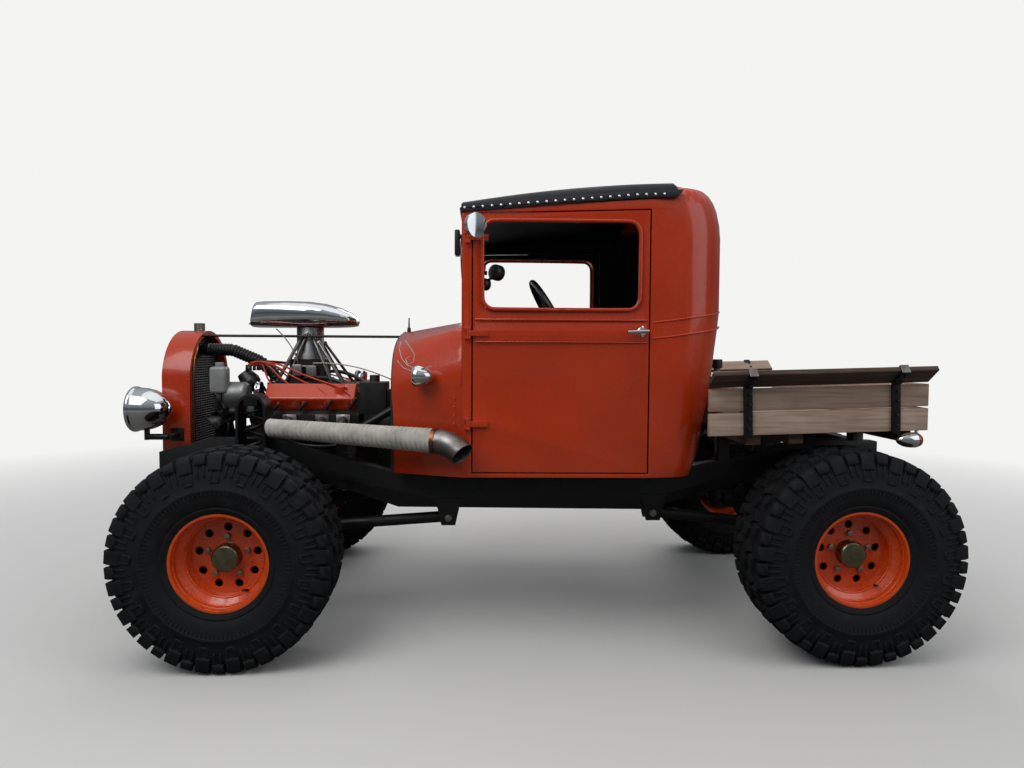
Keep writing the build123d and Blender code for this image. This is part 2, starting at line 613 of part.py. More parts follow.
with BuildPart() as cooling_fan:
    rod((FRONT_COVER_X, 0, FAN_Z), (FAN_X - FAN_HUB_HALF, 0, FAN_Z), PUMP_RADIUS)
    rod((FRONT_COVER_X - 20, 0, FAN_Z), (FRONT_COVER_X - 55, 0, FAN_Z), PUMP_PULLEY_RADIUS)
    rod((FAN_X + FAN_HUB_HALF, 0, FAN_Z), (FAN_X - FAN_HUB_HALF, 0, FAN_Z), FAN_HUB_RADIUS)
    for number in range(FAN_BLADES):
        turn = radians(360 / FAN_BLADES * number)
        outward = Vector(0, sin(turn), cos(turn))
        root = Vector(FAN_X, 0, FAN_Z) + outward * (FAN_HUB_RADIUS - 10)
        blade = Plane(origin=root, x_dir=Vector(0.8, 0.6 * cos(turn), -0.6 * sin(turn)), z_dir=outward)
        with BuildSketch(blade):
            Rectangle(4, FAN_BLADE_WIDTH)
        extrude(amount=FAN_RADIUS - FAN_HUB_RADIUS + 10)
save(cooling_fan.part, "cooling_fan")


def arch(inset, x0, x1, mode=Mode.ADD):
    """Radiator shell's round-topped outline, shrunk by an inset, from x0 to x1."""
    half = SHELL_HALF - inset
    with BuildSketch(Plane.YZ.offset(x0)) as outline:
        with BuildLine():
            Line((-half, SHELL_BOTTOM_Z), (half, SHELL_BOTTOM_Z))
            Line((half, SHELL_BOTTOM_Z), (half, SHELL_SHOULDER_Z))
            ThreePointArc((half, SHELL_SHOULDER_Z), (0, SHELL_TOP_Z - inset), (-half, SHELL_SHOULDER_Z))
            Line((-half, SHELL_SHOULDER_Z), (-half, SHELL_BOTTOM_Z))
        make_face()
    extrude(outline.sketch, amount=x1 - x0, mode=mode)


SHELL_REAR_X = SHELL_FRONT_X + SHELL_DEPTH
CORE_X = SHELL_FRONT_X + 40.0
LIP = 12.0
GRILLE_X = SHELL_FRONT_X + LIP + 8.0

with BuildPart() as radiator_shell:
    arch(0, SHELL_FRONT_X, SHELL_REAR_X)
    arch(SHELL_WALL, SHELL_FRONT_X + LIP, SHELL_REAR_X, Mode.SUBTRACT)
    arch(SHELL_WALL + LIP, SHELL_FRONT_X, SHELL_FRONT_X + LIP, Mode.SUBTRACT)
    with Locations((SHELL_FRONT_X + 80, 0, SHELL_TOP_Z + 16)):
        Cylinder(26, 44)
save(radiator_shell.part, "radiator_shell")

with BuildPart() as radiator_core:
    arch(SHELL_WALL, CORE_X, CORE_X + CORE_DEPTH)
    rod((CORE_X + CORE_DEPTH, HOSE_Y, 1266), (CORE_X + CORE_DEPTH + 30, HOSE_Y, 1266), 25)
save(radiator_core.part, "radiator_core")

with BuildPart() as grille:
    pitch = 2 * (SHELL_HALF - SHELL_WALL - LIP) / (GRILLE_BARS + 1)
    for number in range(GRILLE_BARS):
        y = pitch * (number - (GRILLE_BARS - 1) / 2)
        rod((GRILLE_X, y, SHELL_BOTTOM_Z), (GRILLE_X, y, SHELL_TOP_Z), GRILLE_BAR)
    for z in (SHELL_BOTTOM_Z + 20, SHELL_SHOULDER_Z):
        block(GRILLE_X, GRILLE_X + 12, -SHELL_HALF, SHELL_HALF, z, z + 16)
    arch(SHELL_WALL, SHELL_FRONT_X + LIP, CORE_X, Mode.INTERSECT)
save(grille.part, "grille")


def route(points, bend, radius, mode=Mode.ADD):
    """Round bar or hose along straight runs joined by bends of one radius."""
    with BuildLine() as path:
        FilletPolyline(*points, radius=bend)
    with BuildSketch(Plane(origin=path.line @ 0, z_dir=path.line % 0)) as section:
        Circle(radius)
    sweep(section.sketch, path=path.line, mode=mode)


HOSE_RADIUS = 27.0

with BuildPart() as radiator_hose:
    route([(CORE_X + CORE_DEPTH + 8, HOSE_Y, 1266), (-1440, HOSE_Y, 1264), (-1300, HOSE_Y, 1205),
           (THERMOSTAT_X, HOSE_Y, 1140), (THERMOSTAT_X, HOSE_Y, MANIFOLD_TOP_Z - 25)], 34, HOSE_RADIUS)
    rod((CORE_X + CORE_DEPTH, HOSE_Y, 1266), (CORE_X + CORE_DEPTH + 30, HOSE_Y, 1266), 25, Mode.SUBTRACT)
save(radiator_hose.part, "radiator_hose")

# Headlamps, their carrying bar and the rod that held a hood
with BuildPart() as headlamps:
    for side in (-1, 1):
        turned((LAMP_FRONT_X, side * LAMP_Y, LAMP_Z), (1, 0, 0),
               [(0, 0), (82, 4), (100, 12), (LAMP_RADIUS, 22), (LAMP_RADIUS, 34), (98, 46), (94, 80),
                (82, 118), (58, 150), (24, LAMP_LENGTH), (0, LAMP_LENGTH)])
save(headlamps.part, "headlamps")

LAMP_BAR_Z = 862.0
LAMP_BAR_X = SHELL_REAR_X - 60.0
LAMP_BAR_RADIUS = 14.0
LAMP_FOOT = 30.0
LAMP_POST_X = LAMP_FRONT_X + 70.0

with BuildPart() as lamp_bar:
    for side in (-1, 1):
        bend = (LAMP_BAR_X, side * LAMP_Y, LAMP_BAR_Z)
        rod((LAMP_BAR_X, side * SHELL_HALF, LAMP_BAR_Z), bend, LAMP_BAR_RADIUS)
        rod(bend, (LAMP_POST_X, side * LAMP_Y, LAMP_BAR_Z), LAMP_BAR_RADIUS)
        rod((LAMP_POST_X, side * LAMP_Y, LAMP_BAR_Z - 14), (LAMP_POST_X, side * LAMP_Y, LAMP_Z), 12)
        low, high = sorted((side * SHELL_HALF, side * (SHELL_HALF + 6)))
        block(LAMP_BAR_X - LAMP_FOOT, LAMP_BAR_X + LAMP_FOOT, low, high, LAMP_BAR_Z - LAMP_FOOT,
              LAMP_BAR_Z + LAMP_FOOT)
    add(headlamps.part, mode=Mode.SUBTRACT)
save(lamp_bar.part, "lamp_bar")

HOOD_ROD_Y = -90.0
HOOD_ROD_Z = 1334.0
HOOD_ROD_RADIUS = 6.5

with BuildPart() as hood_rod:
    rod((SHELL_REAR_X, HOOD_ROD_Y, HOOD_ROD_Z), (COWL_FRONT_X, HOOD_ROD_Y, HOOD_ROD_Z), HOOD_ROD_RADIUS)
save(hood_rod.part, "hood_rod")

# Exhausts: X of the three ports of each head
PORT_XS = (-1078.0, -927.0, -828.0)
STUB_RADIUS = 20.0
PORT_FLANGE = 10.0

with BuildPart() as exhausts:
    for side in (-1, 1):
        start = Vector(PIPE_START[0], side * PIPE_START[1], PIPE_START[2])
        end = Vector(PIPE_END[0], side * PIPE_END[1], PIPE_END[2])
        heading = (end - start).normalized()
        for grow, mode in ((0, Mode.ADD), (-PIPE_WALL, Mode.SUBTRACT)):
            # The pipe is closed at the front and open at the tip
            back = start - heading * grow
            with BuildSketch(Plane(origin=back, z_dir=heading)):
                Circle(PIPE_START_RADIUS + grow)
            with BuildSketch(Plane(origin=end, z_dir=heading)):
                Circle(PIPE_END_RADIUS + grow)
            loft(mode=mode)
            if mode == Mode.ADD:
                for x in PORT_XS:
                    share = (x + 25 - PIPE_START[0]) / (PIPE_END[0] - PIPE_START[0])
                    low, high = sorted((side * PORT_Y, side * (PORT_Y + PORT_FLANGE)))
                    block(x - 32, x + 32, low, high, PORT_Z - 28, PORT_Z + 28)
                    port = (x, side * (PORT_Y + PORT_FLANGE / 2), PORT_Z)
                    rod(port, start + (end - start) * share, STUB_RADIUS)
            outward = (Vector(0, side * 0.5, -0.866)).normalized()
            outward = (outward - heading * outward.dot(heading)).normalized()
            with BuildSketch(Plane(origin=end, z_dir=heading)):
                Circle(PIPE_END_RADIUS + grow)
            pivot = end + outward * TIP_TURN_RADIUS
            revolve(axis=Axis(pivot, heading.cross(outward)), revolution_arc=TIP_TURN, mode=mode)
save(exhausts.part, "exhausts")


def cowl_half(x):
    """Half width of the cowl's side."""
    share = (x - COWL_FRONT_X) / (POST_X - COWL_FRONT_X)
    return COWL_FRONT_HALF + share * (POST_HALF - COWL_FRONT_HALF)


# Cowl sections at both ends: height of the seam, inset and height of the shoulder, height of the crown
COWL_ENDS = {COWL_FRONT_X: (1047.0, 150.0, 1290.0, 1356.0), POST_X: (1101.0, 84.0, 1362.0, 1412.0)}
COWL_WALL = 20.0
COWL_BOTTOM_Z = CAB_BOTTOM_Z


def cowl_section(x, inset):
    """Closed outline of the cowl at a station, shrunk by an inset."""
    share = (x - COWL_FRONT_X) / (POST_X - COWL_FRONT_X)
    rows = zip(COWL_ENDS[COWL_FRONT_X], COWL_ENDS[POST_X])
    seam, pulled, shoulder, crown = (a + share * (b - a) for a, b in rows)
    half = cowl_half(x) - inset
    shoulder_y = half - pulled
    shoulder_z = shoulder - inset
    low = COWL_BOTTOM_Z - (1 if inset else 0)
    with BuildSketch(Plane.YZ.offset(x)) as section:
        with BuildLine():
            Line((-half, low), (half, low))
            Line((half, low), (half, seam))
            ThreePointArc((half, seam), (half - 0.28 * pulled, seam + 0.68 * (shoulder_z - seam)),
                          (shoulder_y, shoulder_z))
            ThreePointArc((shoulder_y, shoulder_z), (0, crown - inset), (-shoulder_y, shoulder_z))
            ThreePointArc((-shoulder_y, shoulder_z),
                          (0.28 * pulled - half, seam + 0.68 * (shoulder_z - seam)), (-half, seam))
            Line((-half, seam), (-half, low))
        make_face()
    return section.sketch


STALK_RADIUS = 12.0
TUNNEL_HALF = 160.0
TUNNEL_WALL = 12.0
TUNNEL_FRONT_Z = 940.0
TUNNEL_BREAK = (-100.0, 905.0)
TUNNEL_REAR_X = 110.0
COLUMN_RADIUS = 19.0
WHEEL_CENTRE = Vector(150.0, -350.0, 1420.0)
COLUMN_SLOPE = 30.0
COLUMN_DOWN = Vector(-cos(radians(COLUMN_SLOPE)), 0, -sin(radians(COLUMN_SLOPE)))
COLUMN_HOLE = 26.0
LAMP_STALK_Y = cowl_half(COWL_LAMP[0])

with BuildPart() as cowl:
    loft([cowl_section(COWL_FRONT_X, 0), cowl_section(POST_X, 0)])
    loft([cowl_section(COWL_FRONT_X + COWL_WALL, COWL_WALL), cowl_section(POST_X, COWL_WALL)],
         mode=Mode.SUBTRACT)
    block(COWL_FRONT_X, COWL_FRONT_X + COWL_WALL, TUNNEL_WALL - TUNNEL_HALF, TUNNEL_HALF - TUNNEL_WALL,
          COWL_BOTTOM_Z, TUNNEL_FRONT_Z - TUNNEL_WALL, Mode.SUBTRACT)
    rod(WHEEL_CENTRE + COLUMN_DOWN * 780, WHEEL_CENTRE + COLUMN_DOWN * 880, COLUMN_HOLE, Mode.SUBTRACT)
    for side in (-1, 1):
        rod((COWL_LAMP[0], side * (LAMP_STALK_Y - 60), COWL_LAMP[1]),
            (COWL_LAMP[0], side * (LAMP_STALK_Y + 60), COWL_LAMP[1]), STALK_RADIUS, Mode.SUBTRACT)
save(cowl.part, "cowl")


# Cab's stations from the sill to the crown: height, how far the back and the sides are drawn in, plan corner
CAB_STATIONS = [(CAB_BOTTOM_Z, 140.0, 0.0, 130.0), (800.0, 109.0, 0.0, 145.0), (870.0, 89.0, 0.0, 160.0),
                (940.0, 75.0, 0.0, 170.0), (1075.0, 42.0, 0.0, 190.0), (1276.0, 18.0, 0.0, 198.0),
                (1365.0, 7.0, 0.0, 198.0), (1440.0, 0.0, 0.0, 198.0), (1760.0, 0.0, 0.0, 198.0),
                (1820.0, 5.0, 0.0, 198.0), (1880.0, 18.0, 1.0, 198.0), (1915.0, 31.0, 4.0, 198.0),
                (1945.0, 48.0, 12.0, 198.0), (1965.0, 64.0, 26.0, 198.0), (1985.0, 86.0, 72.0, 195.0),
                (2000.0, 111.0, 160.0, 185.0), (2014.0, 146.0, 280.0, 165.0), (2026.0, 186.0, 420.0, 135.0),
                (ROOF_CROWN_Z, 246.0, 560.0, 100.0)]
DOME_FOOT_Z = 1820.0


def cab_station(height, back_in, side_in, corner, inset):
    """Plan outline of the cab at a height, shrunk by an inset; the dome's inner stations also sink."""
    sink = inset * max(0.0, (height - DOME_FOOT_Z) / (ROOF_CROWN_Z - DOME_FOOT_Z))
    front = POST_X + inset
    back = CAB_BACK_X - back_in - inset
    radius = max(corner - inset, 10.0)
    turn = sqrt(0.5) * radius
    draw = side_in + inset
    half = CAB_REAR_HALF - draw
    below = 1 if inset and height == CAB_BOTTOM_Z else 0
    with BuildSketch(Plane.XY.offset(height - sink - below)) as section:
        with BuildLine():
            for side in (-1, 1):
                door_end = (DOOR_REAR_X, side * (DOOR_HALF - draw))
                arc_start = (back - radius, side * half)
                arc_middle = (back - radius + turn, side * (half - radius + turn))
                arc_end = (back, side * (half - radius))
                Line((front, side * (cab_half(front) - draw)), door_end)
                Line(door_end, arc_start)
                ThreePointArc(arc_start, arc_middle, arc_end)
            Line((back, radius - half), (back, half - radius))
            Line((front, draw - cab_half(front)), (front, cab_half(front) - draw))
        make_face()
    return section.sketch


def cab_hull(inset):
    """Cab's closed form, shrunk by an inset: stations from sill to crown, stepped down ahead of the dome."""
    loft([cab_station(*station, inset) for station in CAB_STATIONS], ruled=True)
    top = ROOF_CROWN_Z + 5
    if not inset:
        side_outline([(POST_X - 5, roof_edge(POST_X)), (POST_X, roof_edge(POST_X)),
                      (ROOF_BREAK_X, ROOF_EDGE_REAR_Z), (ROOF_BREAK_X, top),
                      (POST_X - 5, top)], -DOOR_HALF - 10, DOOR_HALF + 10, Mode.SUBTRACT)


with BuildPart() as cab_space:
    cab_hull(CAB_WALL)

LEG_HALF = DOOR_HALF - 60.0
DASH_Z = 1300.0
HINGE_Y = cab_half(HINGE_X) + HINGE_SEAT + HINGE_RADIUS

with BuildPart() as cab_shell:
    cab_hull(0)
    add(cab_space.part, mode=Mode.SUBTRACT)
    for side in (-1, 1):
        side_outline([(DOOR_FRONT_X, SILL_Z), (DOOR_REAR_X, SILL_Z), (DOOR_REAR_X, DOOR_TOP_REAR_Z),
                      (DOOR_FRONT_X, DOOR_TOP_FRONT_Z)], side * (DOOR_HALF - 90), side * (DOOR_HALF + 30),
                     Mode.SUBTRACT)
    block(POST_X, POST_X + CAB_WALL, -LEG_HALF, LEG_HALF, CAB_BOTTOM_Z, DASH_Z, Mode.SUBTRACT)
    block(POST_X, POST_X + CAB_WALL, -SCREEN_HALF, SCREEN_HALF, SCREEN_Z0, SCREEN_Z1, Mode.SUBTRACT)
    block(CAB_BACK_X - CAB_WALL, CAB_BACK_X, -REAR_GLASS_HALF, REAR_GLASS_HALF, REAR_GLASS_Z0,
          REAR_GLASS_Z1, Mode.SUBTRACT)
    # Post's halves of the door hinges, above and below each door's eye
    for side in (-1, 1):
        for z in HINGE_ZS:
            for way in (-1, 1):
                low, high = sorted((z + way * (HINGE_EYE / 2 + HINGE_GAP), z + way * HINGE_HEIGHT / 2))
                rod((HINGE_X, side * HINGE_Y, low), (HINGE_X, side * HINGE_Y, high), HINGE_RADIUS)
                inner, outer = sorted((side * (HINGE_Y - HINGE_RADIUS - 5), side * (HINGE_Y + 2)))
                block(HINGE_X - 16, HINGE_X, inner, outer, low, high)
save(cab_shell.part, "cab_shell")


def roof_section(x, crown, inset):
    """Vaulted section of the covered roof, shrunk by an inset."""
    half = min(cab_half(x), DOOR_HALF) - inset
    edge = roof_edge(x)
    rise = crown - edge
    shoulder = (half - ROOF_SHOULDER, edge + ROOF_SHOULDER_RISE * rise - inset)
    bend = (half - 0.22 * ROOF_SHOULDER, edge + 0.38 * rise - 0.6 * inset)
    foot = (half, edge - (1 if inset else 0))
    with BuildSketch(Plane.YZ.offset(x)) as section:
        with BuildLine():
            Line((-foot[0], foot[1]), foot)
            ThreePointArc(foot, bend, shoulder)
            ThreePointArc(shoulder, (0, crown - inset), (-shoulder[0], shoulder[1]))
            ThreePointArc((-shoulder[0], shoulder[1]), (-bend[0], bend[1]), (-foot[0], foot[1]))
        make_face()
    return section.sketch


# Stations of the covered roof: X and height of the crown
ROOF_STATIONS = [(POST_X, ROOF_CROWN_FRONT_Z), (180.0, 2008.0), (ROOF_BREAK_X, ROOF_CROWN_Z)]

with BuildPart() as roof_top:
    loft([roof_section(x, crown, 0) for x, crown in ROOF_STATIONS])
    loft([roof_section(x, crown, ROOF_WALL) for x, crown in ROOF_STATIONS], mode=Mode.SUBTRACT)
save(roof_top.part, "roof_top")

FLOOR_TOP_Z = CAB_BOTTOM_Z + FLOOR
RISER_TOP_Z = 960.0
RISER_WALL = 12.0
RISER_FRONT_X = 240.0
RISER_FOOT_X = 635.0
RISER_REAR_X = 745.0
RISER_HALF = DOOR_HALF - 130.0
COWL_INSIDE_X = COWL_FRONT_X + COWL_WALL

with BuildPart() as cab_floor:
    front_inside = POST_X + CAB_WALL
    foot_inside = CAB_BACK_X - CAB_STATIONS[0][1] - CAB_WALL
    foot_corner = CAB_STATIONS[0][3] - CAB_WALL
    half_inside = CAB_REAR_HALF - CAB_WALL
    right = [(COWL_INSIDE_X, cowl_half(COWL_INSIDE_X) - COWL_WALL), (POST_X, LEG_HALF),
             (front_inside, LEG_HALF),
             (front_inside, cab_half(front_inside) - CAB_WALL), (DOOR_REAR_X, DOOR_HALF - CAB_WALL),
             (foot_inside - foot_corner, half_inside), (foot_inside - 2, half_inside - foot_corner)]
    plan_outline(right + [(x, -y) for x, y in right[::-1]], CAB_BOTTOM_Z, FLOOR_TOP_Z)
    side_outline([(COWL_INSIDE_X, CAB_BOTTOM_Z), (COWL_INSIDE_X, TUNNEL_FRONT_Z), TUNNEL_BREAK,
                  (TUNNEL_REAR_X, FLOOR_TOP_Z)],
                 -TUNNEL_HALF, TUNNEL_HALF)
    side_outline([(COWL_INSIDE_X, CAB_BOTTOM_Z), (COWL_INSIDE_X, TUNNEL_FRONT_Z - TUNNEL_WALL),
                  (TUNNEL_BREAK[0] - 5, TUNNEL_BREAK[1] - TUNNEL_WALL), (TUNNEL_REAR_X - 18, FLOOR_TOP_Z),
                  (TUNNEL_REAR_X - 18, CAB_BOTTOM_Z)], TUNNEL_WALL - TUNNEL_HALF, TUNNEL_HALF - TUNNEL_WALL,
                 Mode.SUBTRACT)
    side_outline([(RISER_FRONT_X, FLOOR_TOP_Z), (RISER_FOOT_X, FLOOR_TOP_Z), (RISER_REAR_X, RISER_TOP_Z),
                  (RISER_FRONT_X, RISER_TOP_Z)], -RISER_HALF, RISER_HALF)
    side_outline([(RISER_FRONT_X + RISER_WALL, CAB_BOTTOM_Z), (RISER_FOOT_X - 20, CAB_BOTTOM_Z),
                  (RISER_REAR_X - 15, RISER_TOP_Z - RISER_WALL),
                  (RISER_FRONT_X + RISER_WALL, RISER_TOP_Z - RISER_WALL)], RISER_WALL - RISER_HALF,
                 RISER_HALF - RISER_WALL, Mode.SUBTRACT)
save(cab_floor.part, "cab_floor")

with BuildPart() as dashboard:
    side_outline([(front_inside, DASH_Z), (-145, DASH_Z), (-135, DASH_Z + 70), (-150, SCREEN_Z0 - 18),
                  (front_inside, SCREEN_Z0 - 6)], -SCREEN_HALF, SCREEN_HALF)
save(dashboard.part, "dashboard")

SEAT_GAP = 0.3
CUSHION = (215.0, 648.0)
CUSHION_HEIGHT = 150.0
CUSHION_ROUND = 30.0
BACK_FOOT = (655.0, 742.0)
BACK_TOP = [(832.0, 1555.0), (728.0, 1570.0)]

with BuildPart() as seat_cushion:
    block(*CUSHION, -RISER_HALF, RISER_HALF, RISER_TOP_Z + SEAT_GAP, RISER_TOP_Z + CUSHION_HEIGHT)
    fillet(seat_cushion.edges().filter_by(Axis.Y), CUSHION_ROUND)
save(seat_cushion.part, "seat_cushion")

with BuildPart() as seat_back:
    side_outline([(x, RISER_TOP_Z + SEAT_GAP) for x in BACK_FOOT] + BACK_TOP, -RISER_HALF, RISER_HALF)
    fillet(seat_back.edges().filter_by(Axis.Y).group_by(Axis.Z)[-1], CUSHION_ROUND - 5)
save(seat_back.part, "seat_back")

SCREEN_X = POST_X + 12.0
REAR_GLASS_X = CAB_BACK_X - 18.0

with BuildPart() as glass:
    block(SCREEN_X, SCREEN_X + GLASS, -SCREEN_HALF, SCREEN_HALF, SCREEN_Z0, SCREEN_Z1)
    block(REAR_GLASS_X, REAR_GLASS_X + GLASS, -REAR_GLASS_HALF, REAR_GLASS_HALF, REAR_GLASS_Z0, REAR_GLASS_Z1)
save(glass.part, "glass")

# Steering column and box, steering wheel
BOX_X = -800.0
BOX_HALF = 45.0
BOX_TOP_Z = 900.0
HUB_GAP = 0.3
COLUMN_FOOT = 1060.0
SLEEVE = (80.0, 520.0)
HANGER_ALONG = 360.0
HANGER_HALF = (20.0, 30.0)
WHEEL_RIM_RADIUS = 190.0
WHEEL_RIM_GRIP = 13.0
WHEEL_HUB_RADIUS = 32.0

with BuildPart() as steering_column:
    rod(WHEEL_CENTRE + COLUMN_DOWN * (30 + HUB_GAP), WHEEL_CENTRE + COLUMN_DOWN * COLUMN_FOOT, COLUMN_RADIUS)
    rod(WHEEL_CENTRE + COLUMN_DOWN * SLEEVE[0], WHEEL_CENTRE + COLUMN_DOWN * SLEEVE[1], COLUMN_RADIUS + 9)
    box_front = BOX_X - BOX_HALF
    box_rear = BOX_X + BOX_HALF
    side_outline([(box_front, rail_top(box_front)), (box_rear, rail_top(box_rear)), (box_rear, BOX_TOP_Z),
                  (box_front, BOX_TOP_Z)], WHEEL_CENTRE.Y - 50, WHEEL_CENTRE.Y + 20)
    # Bracket that hangs the column from the dashboard
    hung = WHEEL_CENTRE + COLUMN_DOWN * HANGER_ALONG
    block(hung.X - HANGER_HALF[0], hung.X + HANGER_HALF[0], hung.Y - HANGER_HALF[1],
          hung.Y + HANGER_HALF[1], hung.Z, DASH_Z)
save(steering_column.part, "steering_column")

with BuildPart() as steering_wheel:
    wheel_plane = Plane(origin=WHEEL_CENTRE, x_dir=(0, 1, 0), z_dir=COLUMN_DOWN * -1)
    rod(WHEEL_CENTRE + COLUMN_DOWN * 30, WHEEL_CENTRE - COLUMN_DOWN * 14, WHEEL_HUB_RADIUS)
    with Locations(wheel_plane):
        Torus(WHEEL_RIM_RADIUS, WHEEL_RIM_GRIP)
    for angle in (90, 210, 330):
        spoke = wheel_plane.x_dir * cos(radians(angle)) + wheel_plane.y_dir * sin(radians(angle))
        rod(WHEEL_CENTRE + spoke * 20, WHEEL_CENTRE + spoke * (WHEEL_RIM_RADIUS - 4), 8)
save(steering_wheel.part, "steering_wheel")

with BuildPart() as marker_lamps:
    for side in (-1, 1):
        lamp_y = side * (LAMP_STALK_Y + COWL_LAMP_RADIUS + 8)
        turned((COWL_LAMP[0] - 46, lamp_y, COWL_LAMP[1]), (1, 0, 0),
               [(0, 0), (36, 6), (44, 14), (COWL_LAMP_RADIUS, 24), (40, 52), (26, 80), (0, 96)])
        rod((COWL_LAMP[0], side * (LAMP_STALK_Y - 34), COWL_LAMP[1]), (COWL_LAMP[0], lamp_y, COWL_LAMP[1]),
            STALK_RADIUS)
        turned((TAIL_LAMP[0] - 55, side * TAIL_LAMP[1], TAIL_LAMP[2]), (1, 0, 0),
               [(0, 0), (18, 10), (28, 30), (TAIL_LAMP_RADIUS, 60), (TAIL_LAMP_RADIUS, 80), (24, 100),
                (0, 110)])
        stem = (TAIL_LAMP[0] + 40, side * (BED_HALF - BOARD / 2))
        rod((*stem, TAIL_LAMP[2]), (*stem, bed_z(stem[0]) - 0.2), 7)
save(marker_lamps.part, "marker_lamps")

# Brake servo box on the firewall
SERVO_X = (-752.0, -628.0)
SERVO_Y = (-310.0, -182.0)
SERVO_Z = (965.0, 1116.0)
SERVO_NECK = 40.0
SERVO_KNOB = (24.0, 32.0)

with BuildPart() as brake_servo:
    middle_y = sum(SERVO_Y) / 2
    middle_z = sum(SERVO_Z) / 2
    block(*SERVO_X, *SERVO_Y, *SERVO_Z)
    block(SERVO_X[1], COWL_FRONT_X, middle_y - SERVO_NECK, middle_y + SERVO_NECK, middle_z - SERVO_NECK,
          middle_z + SERVO_NECK)
    with Locations((sum(SERVO_X) / 2, middle_y, SERVO_Z[1] + SERVO_KNOB[1] / 2)):
        Cylinder(*SERVO_KNOB)
save(brake_servo.part, "brake_servo")

# Bell housing, gearbox, transfer case and propeller shafts
PROP_Y = DIFF_Y
PROP_RADIUS = 30.0
TRANSFER_Z = 600.0
TRANSFER_HALF = 150.0
TRANSFER_MOUNT = 50.0
PROP_INTO_PINION = 12.0

with BuildPart() as gearbox:
    rod((ENGINE_REAR_X, 0, CRANK_Z), (ENGINE_REAR_X + 95, 0, CRANK_Z), 168)
    block(ENGINE_REAR_X + 90, -150, -100, 100, CRANK_Z - 125, CRANK_Z + 95)
    block(-TRANSFER_HALF, TRANSFER_HALF, -95, PROP_Y + 60, TRANSFER_Z - 75, CAB_BOTTOM_Z - 10)
    mount_x, mount_top, mount_bottom = CROSSMEMBERS[2]
    block(TRANSFER_HALF, mount_x - CROSSMEMBER / 2, -TRANSFER_MOUNT, TRANSFER_MOUNT, mount_bottom, mount_top)
    for axle_x, case_x, way in ((FRONT_AXLE_X, -TRANSFER_HALF, 1), (REAR_AXLE_X, TRANSFER_HALF, -1)):
        pinion_x = axle_x + way * (PINION_REACH - PROP_INTO_PINION)
        rod((case_x, PROP_Y, TRANSFER_Z), (pinion_x, PROP_Y, AXLE_Z + PINION_RISE), PROP_RADIUS)
    add(front_axle.part, mode=Mode.SUBTRACT)
    add(rear_axle.part, mode=Mode.SUBTRACT)
save(gearbox.part, "gearbox")

# Plank bed, tilted up to the rear
def bed_slab(x0, x1, low, high, y0, y1, mode=Mode.ADD):
    """Board in the tilted bed: its lower and upper face are heights above the side boards' foot."""
    side_outline([(x0, bed_z(x0, low)), (x1, bed_z(x1, low)), (x1, bed_z(x1, high)), (x0, bed_z(x0, high))],
                 y0, y1, mode)


PLANK = 22.0
BED_INSIDE = BED_HALF - BOARD
TAILGATE_X = BED_REAR_X - BOARD
TAILGATE_GAP = 6.0
GATE_AXIS_X = BED_REAR_X - 4.0
GATE_AXIS_DROP = 14.0
GATE_PIN_RADIUS = 5.0
GATE_EYE_RADIUS = 10.0
GATE_HINGE_YS = (-500.0, 500.0)
GATE_HINGE_HALF = 30.0
SILL_BEARER_X = 1634.0
BED_DIRECTION = Vector(cos(radians(BED_TILT)), 0, sin(radians(BED_TILT)))
GATE_AXIS = (GATE_AXIS_X, bed_z(GATE_AXIS_X, -GATE_AXIS_DROP))


def on_gate_axis(y):
    """Point of the tailgate's hinge axis at a sideways distance."""
    return (GATE_AXIS[0], y, GATE_AXIS[1])


with BuildPart() as bed_floor:
    width = (2 * BED_INSIDE - (PLANKS - 1) * PLANK_GAP) / PLANKS
    for number in range(PLANKS):
        low = -BED_INSIDE + number * (width + PLANK_GAP)
        bed_slab(HEADBOARD_X, TAILGATE_X - TAILGATE_GAP, 0, PLANK, low, low + width)
    for x in BED_MOUNT_XS:
        bed_slab(x - 30, x + 30, -BEARER_HEIGHT, 0, -BED_INSIDE + 10, BED_INSIDE - 10)
    for y in GATE_HINGE_YS:
        for inner in (-GATE_HINGE_HALF - 31, GATE_HINGE_HALF + 1):
            bed_slab(SILL_BEARER_X - 60, GATE_AXIS_X + 8, -GATE_AXIS_DROP - 10, -GATE_AXIS_DROP + 8,
                     y + inner, y + inner + 30)
            bed_slab(SILL_BEARER_X - 60, TAILGATE_X - 8, -GATE_AXIS_DROP - 10, 0, y + inner, y + inner + 30)
        rod(on_gate_axis(y - GATE_HINGE_HALF - 20), on_gate_axis(y + GATE_HINGE_HALF + 20),
            GATE_PIN_RADIUS)
save(bed_floor.part, "bed_floor")

with BuildPart() as tailgate:
    half = BED_INSIDE - TAILGATE_GAP
    for low in (4.0, BOARD_HEIGHT + BOARD_SPLIT):
        bed_slab(TAILGATE_X, BED_REAR_X, low, low + BOARD_HEIGHT - (4 if low == 4.0 else 0), -half, half)
    for y in (*GATE_HINGE_YS, 0.0):
        bed_slab(BED_REAR_X, BED_REAR_X + 6, 4, SIDE_HEIGHT - 6, y - 25, y + 25)
    for y in GATE_HINGE_YS:
        bed_slab(GATE_AXIS_X - 5, BED_REAR_X + 6, -GATE_AXIS_DROP, 20, y - GATE_HINGE_HALF,
                 y + GATE_HINGE_HALF)
        rod(on_gate_axis(y - GATE_HINGE_HALF), on_gate_axis(y + GATE_HINGE_HALF),
            GATE_EYE_RADIUS)
        rod(on_gate_axis(y - GATE_HINGE_HALF), on_gate_axis(y + GATE_HINGE_HALF),
            GATE_PIN_RADIUS + 0.3, Mode.SUBTRACT)
save(tailgate.part, "tailgate")

